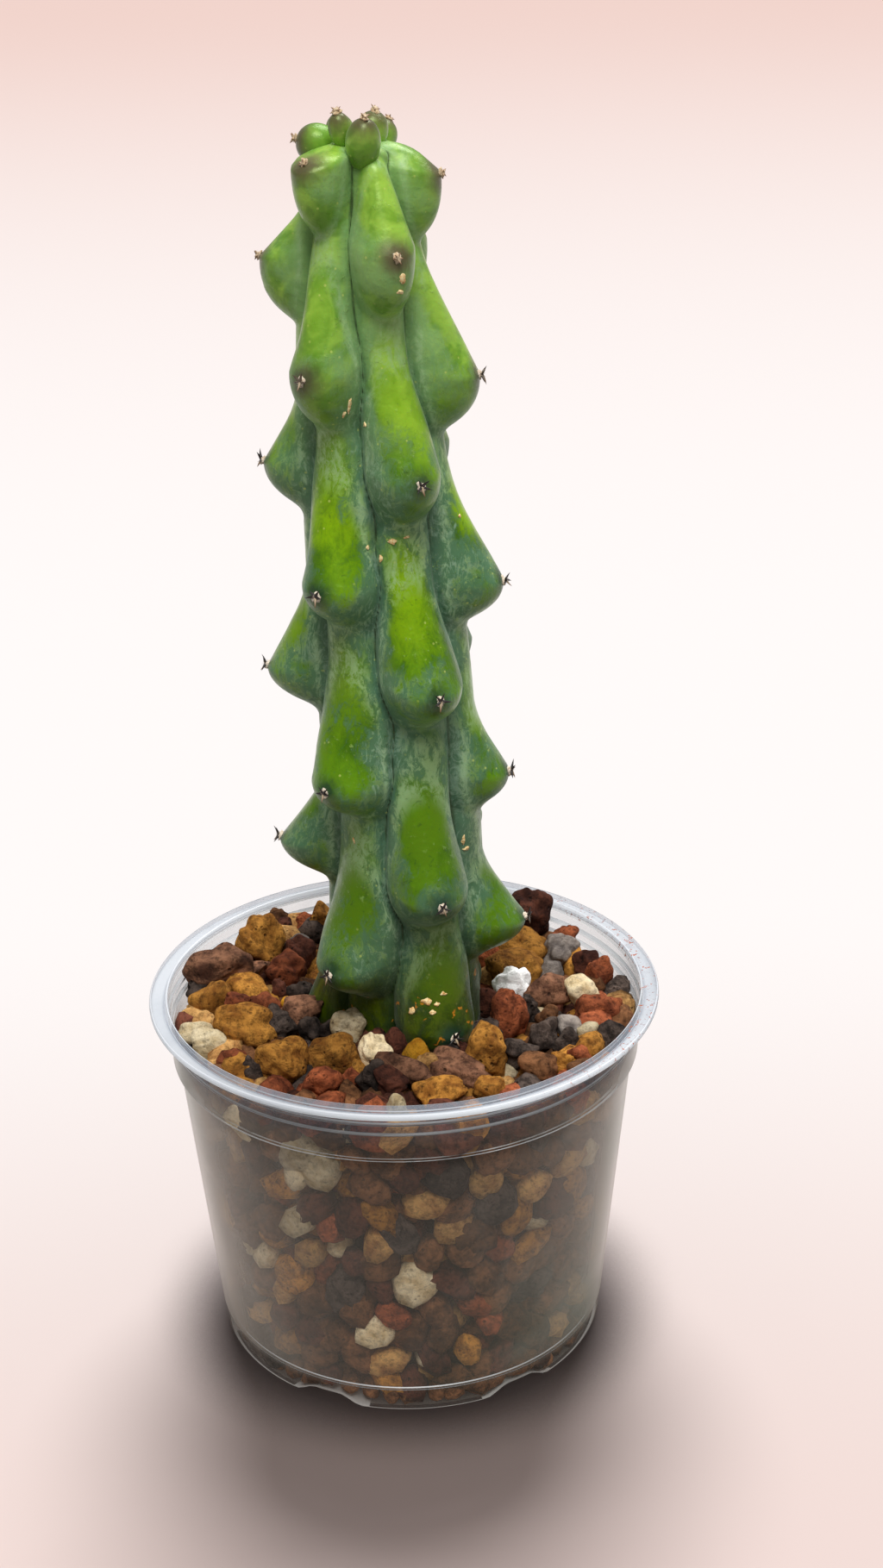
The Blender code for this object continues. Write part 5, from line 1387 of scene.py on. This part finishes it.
class CACTUS_OT_stage(bpy.types.Operator):
    """Build the floor, the soft lights and the camera"""
    bl_idname = "cactus.stage"
    bl_label = "Stage"

    def execute(self, context):
        settings = context.scene.cactus_stage
        scene = context.scene
        floor = self.floor(scene, settings)
        scene.view_settings.view_transform = "Standard"
        self.world(scene, settings)
        self.lights(scene, settings, floor)
        self.camera(scene)
        return {"FINISHED"}

    def floor(self, scene, settings):
        """Flat sheet of paper, whose own light doesn't colour the part."""
        mesh = bpy.data.meshes.new("floor")
        half = FLOOR_HALF_WIDTH
        mesh.from_pydata([(-half, -half, 0.0), (half, -half, 0.0), (half, half, 0.0), (-half, half, 0.0)],
                         [], [(0, 1, 2, 3)])
        mesh.materials.append(paper_material(settings))
        floor = bpy.data.objects.new("floor", mesh)
        floor.visible_diffuse = False
        scene.collection.objects.link(floor)
        return floor

    def world(self, scene, settings):
        """Even light from all round."""
        world = bpy.data.worlds.new("studio")
        world.use_nodes = True
        background = world.node_tree.nodes["Background"]
        background.inputs["Color"].default_value = (*screen_colour(255, 250, 248), 1.0)
        background.inputs["Strength"].default_value = settings.world
        scene.world = world

    def lights(self, scene, settings, floor):
        """Two soft lights on the part and one on the floor alone, which draws the shadow."""
        floor_only = bpy.data.collections.new("floor_only")
        floor_only.objects.link(floor)
        all_but_floor = bpy.data.collections.new("all_but_floor")
        all_but_floor.objects.link(floor)
        all_but_floor.collection_objects[0].light_linking.link_state = "EXCLUDE"
        for name, place, spread, power, lit in (
                ("key", (0.26, 0.52, 0.82), 34.0, settings.key, all_but_floor),
                ("fill", (0.04, -0.57, 1.15), 30.0, FILL_SHARE * settings.key, all_but_floor),
                ("floor_light", (0.03, 0.66, 1.00), 33.0, settings.floor_light, floor_only)):
            light = bpy.data.lights.new(name, "SUN")
            light.angle = math.radians(spread)
            light.energy = power
            lamp = bpy.data.objects.new(name, light)
            lamp.light_linking.receiver_collection = lit
            lamp.location = place
            lamp.rotation_euler = Vector(place).to_track_quat("Z", "Y").to_euler()
            scene.collection.objects.link(lamp)

    def camera(self, scene):
        """Camera of the photo, whose elevation, roll, distance and target were fitted to the pot's rings."""
        elevation, roll = math.radians(CAMERA_ELEVATION), math.radians(CAMERA_ROLL)
        forward = Vector((0.0, math.cos(elevation), -math.sin(elevation)))
        level, upright = Vector((1.0, 0.0, 0.0)), Vector((0.0, math.sin(elevation), math.cos(elevation)))
        right = level * math.cos(roll) + upright * math.sin(roll)
        up = upright * math.cos(roll) - level * math.sin(roll)
        lens = bpy.data.cameras.new("camera")
        lens.sensor_fit = "VERTICAL"
        lens.sensor_height = SENSOR
        lens.lens = FOCAL_PIXELS / PHOTO_HEIGHT * SENSOR
        lens.clip_start = 0.01
        camera = bpy.data.objects.new("camera", lens)
        scene.collection.objects.link(camera)
        turning = Matrix((right, up, -forward)).transposed().to_4x4()
        turning.translation = Vector(CAMERA_TARGET) - forward * CAMERA_DISTANCE
        camera.matrix_world = turning
        scene.camera = camera


class CACTUS_PT_panel(bpy.types.Panel):
    """Settings and operators of the potted cactus"""
    bl_idname = "CACTUS_PT_panel"
    bl_label = "Potted boobie cactus"
    bl_space_type = "VIEW_3D"
    bl_region_type = "UI"
    bl_category = "Cactus"

    def draw(self, context):
        for group, operators in GROUPS.items():
            box = self.layout.box()
            settings = getattr(context.scene, group)
            for name in settings.__class__.__annotations__:
                box.prop(settings, name)
            for operator in operators:
                box.operator(operator)


GROUPS = {
    "cactus_pot": ("cactus.pot",),
    "cactus_stem": ("cactus.stem", "cactus.areoles", "cactus.scars"),
    "cactus_gravel": ("cactus.gravel",),
    "cactus_stage": ("cactus.stage",),
}
SETTINGS = {"cactus_pot": PotSettings, "cactus_stem": StemSettings, "cactus_gravel": GravelSettings,
            "cactus_stage": StageSettings}
CLASSES = (*SETTINGS.values(), CACTUS_OT_pot, CACTUS_OT_stem, CACTUS_OT_areoles, CACTUS_OT_scars,
           CACTUS_OT_gravel, CACTUS_OT_stage, CACTUS_PT_panel)


def register():
    for item in CLASSES:
        bpy.utils.register_class(item)
    for name, group in SETTINGS.items():
        setattr(bpy.types.Scene, name, PointerProperty(type=group))


def unregister():
    for name in SETTINGS:
        delattr(bpy.types.Scene, name)
    for item in reversed(CLASSES):
        bpy.utils.unregister_class(item)


def main():
    register()
    bpy.ops.cactus.pot()
    bpy.ops.cactus.stem()
    bpy.ops.cactus.areoles()
    bpy.ops.cactus.scars()
    bpy.ops.cactus.gravel()
    bpy.ops.cactus.stage()


if __name__ == "__main__":
    main()
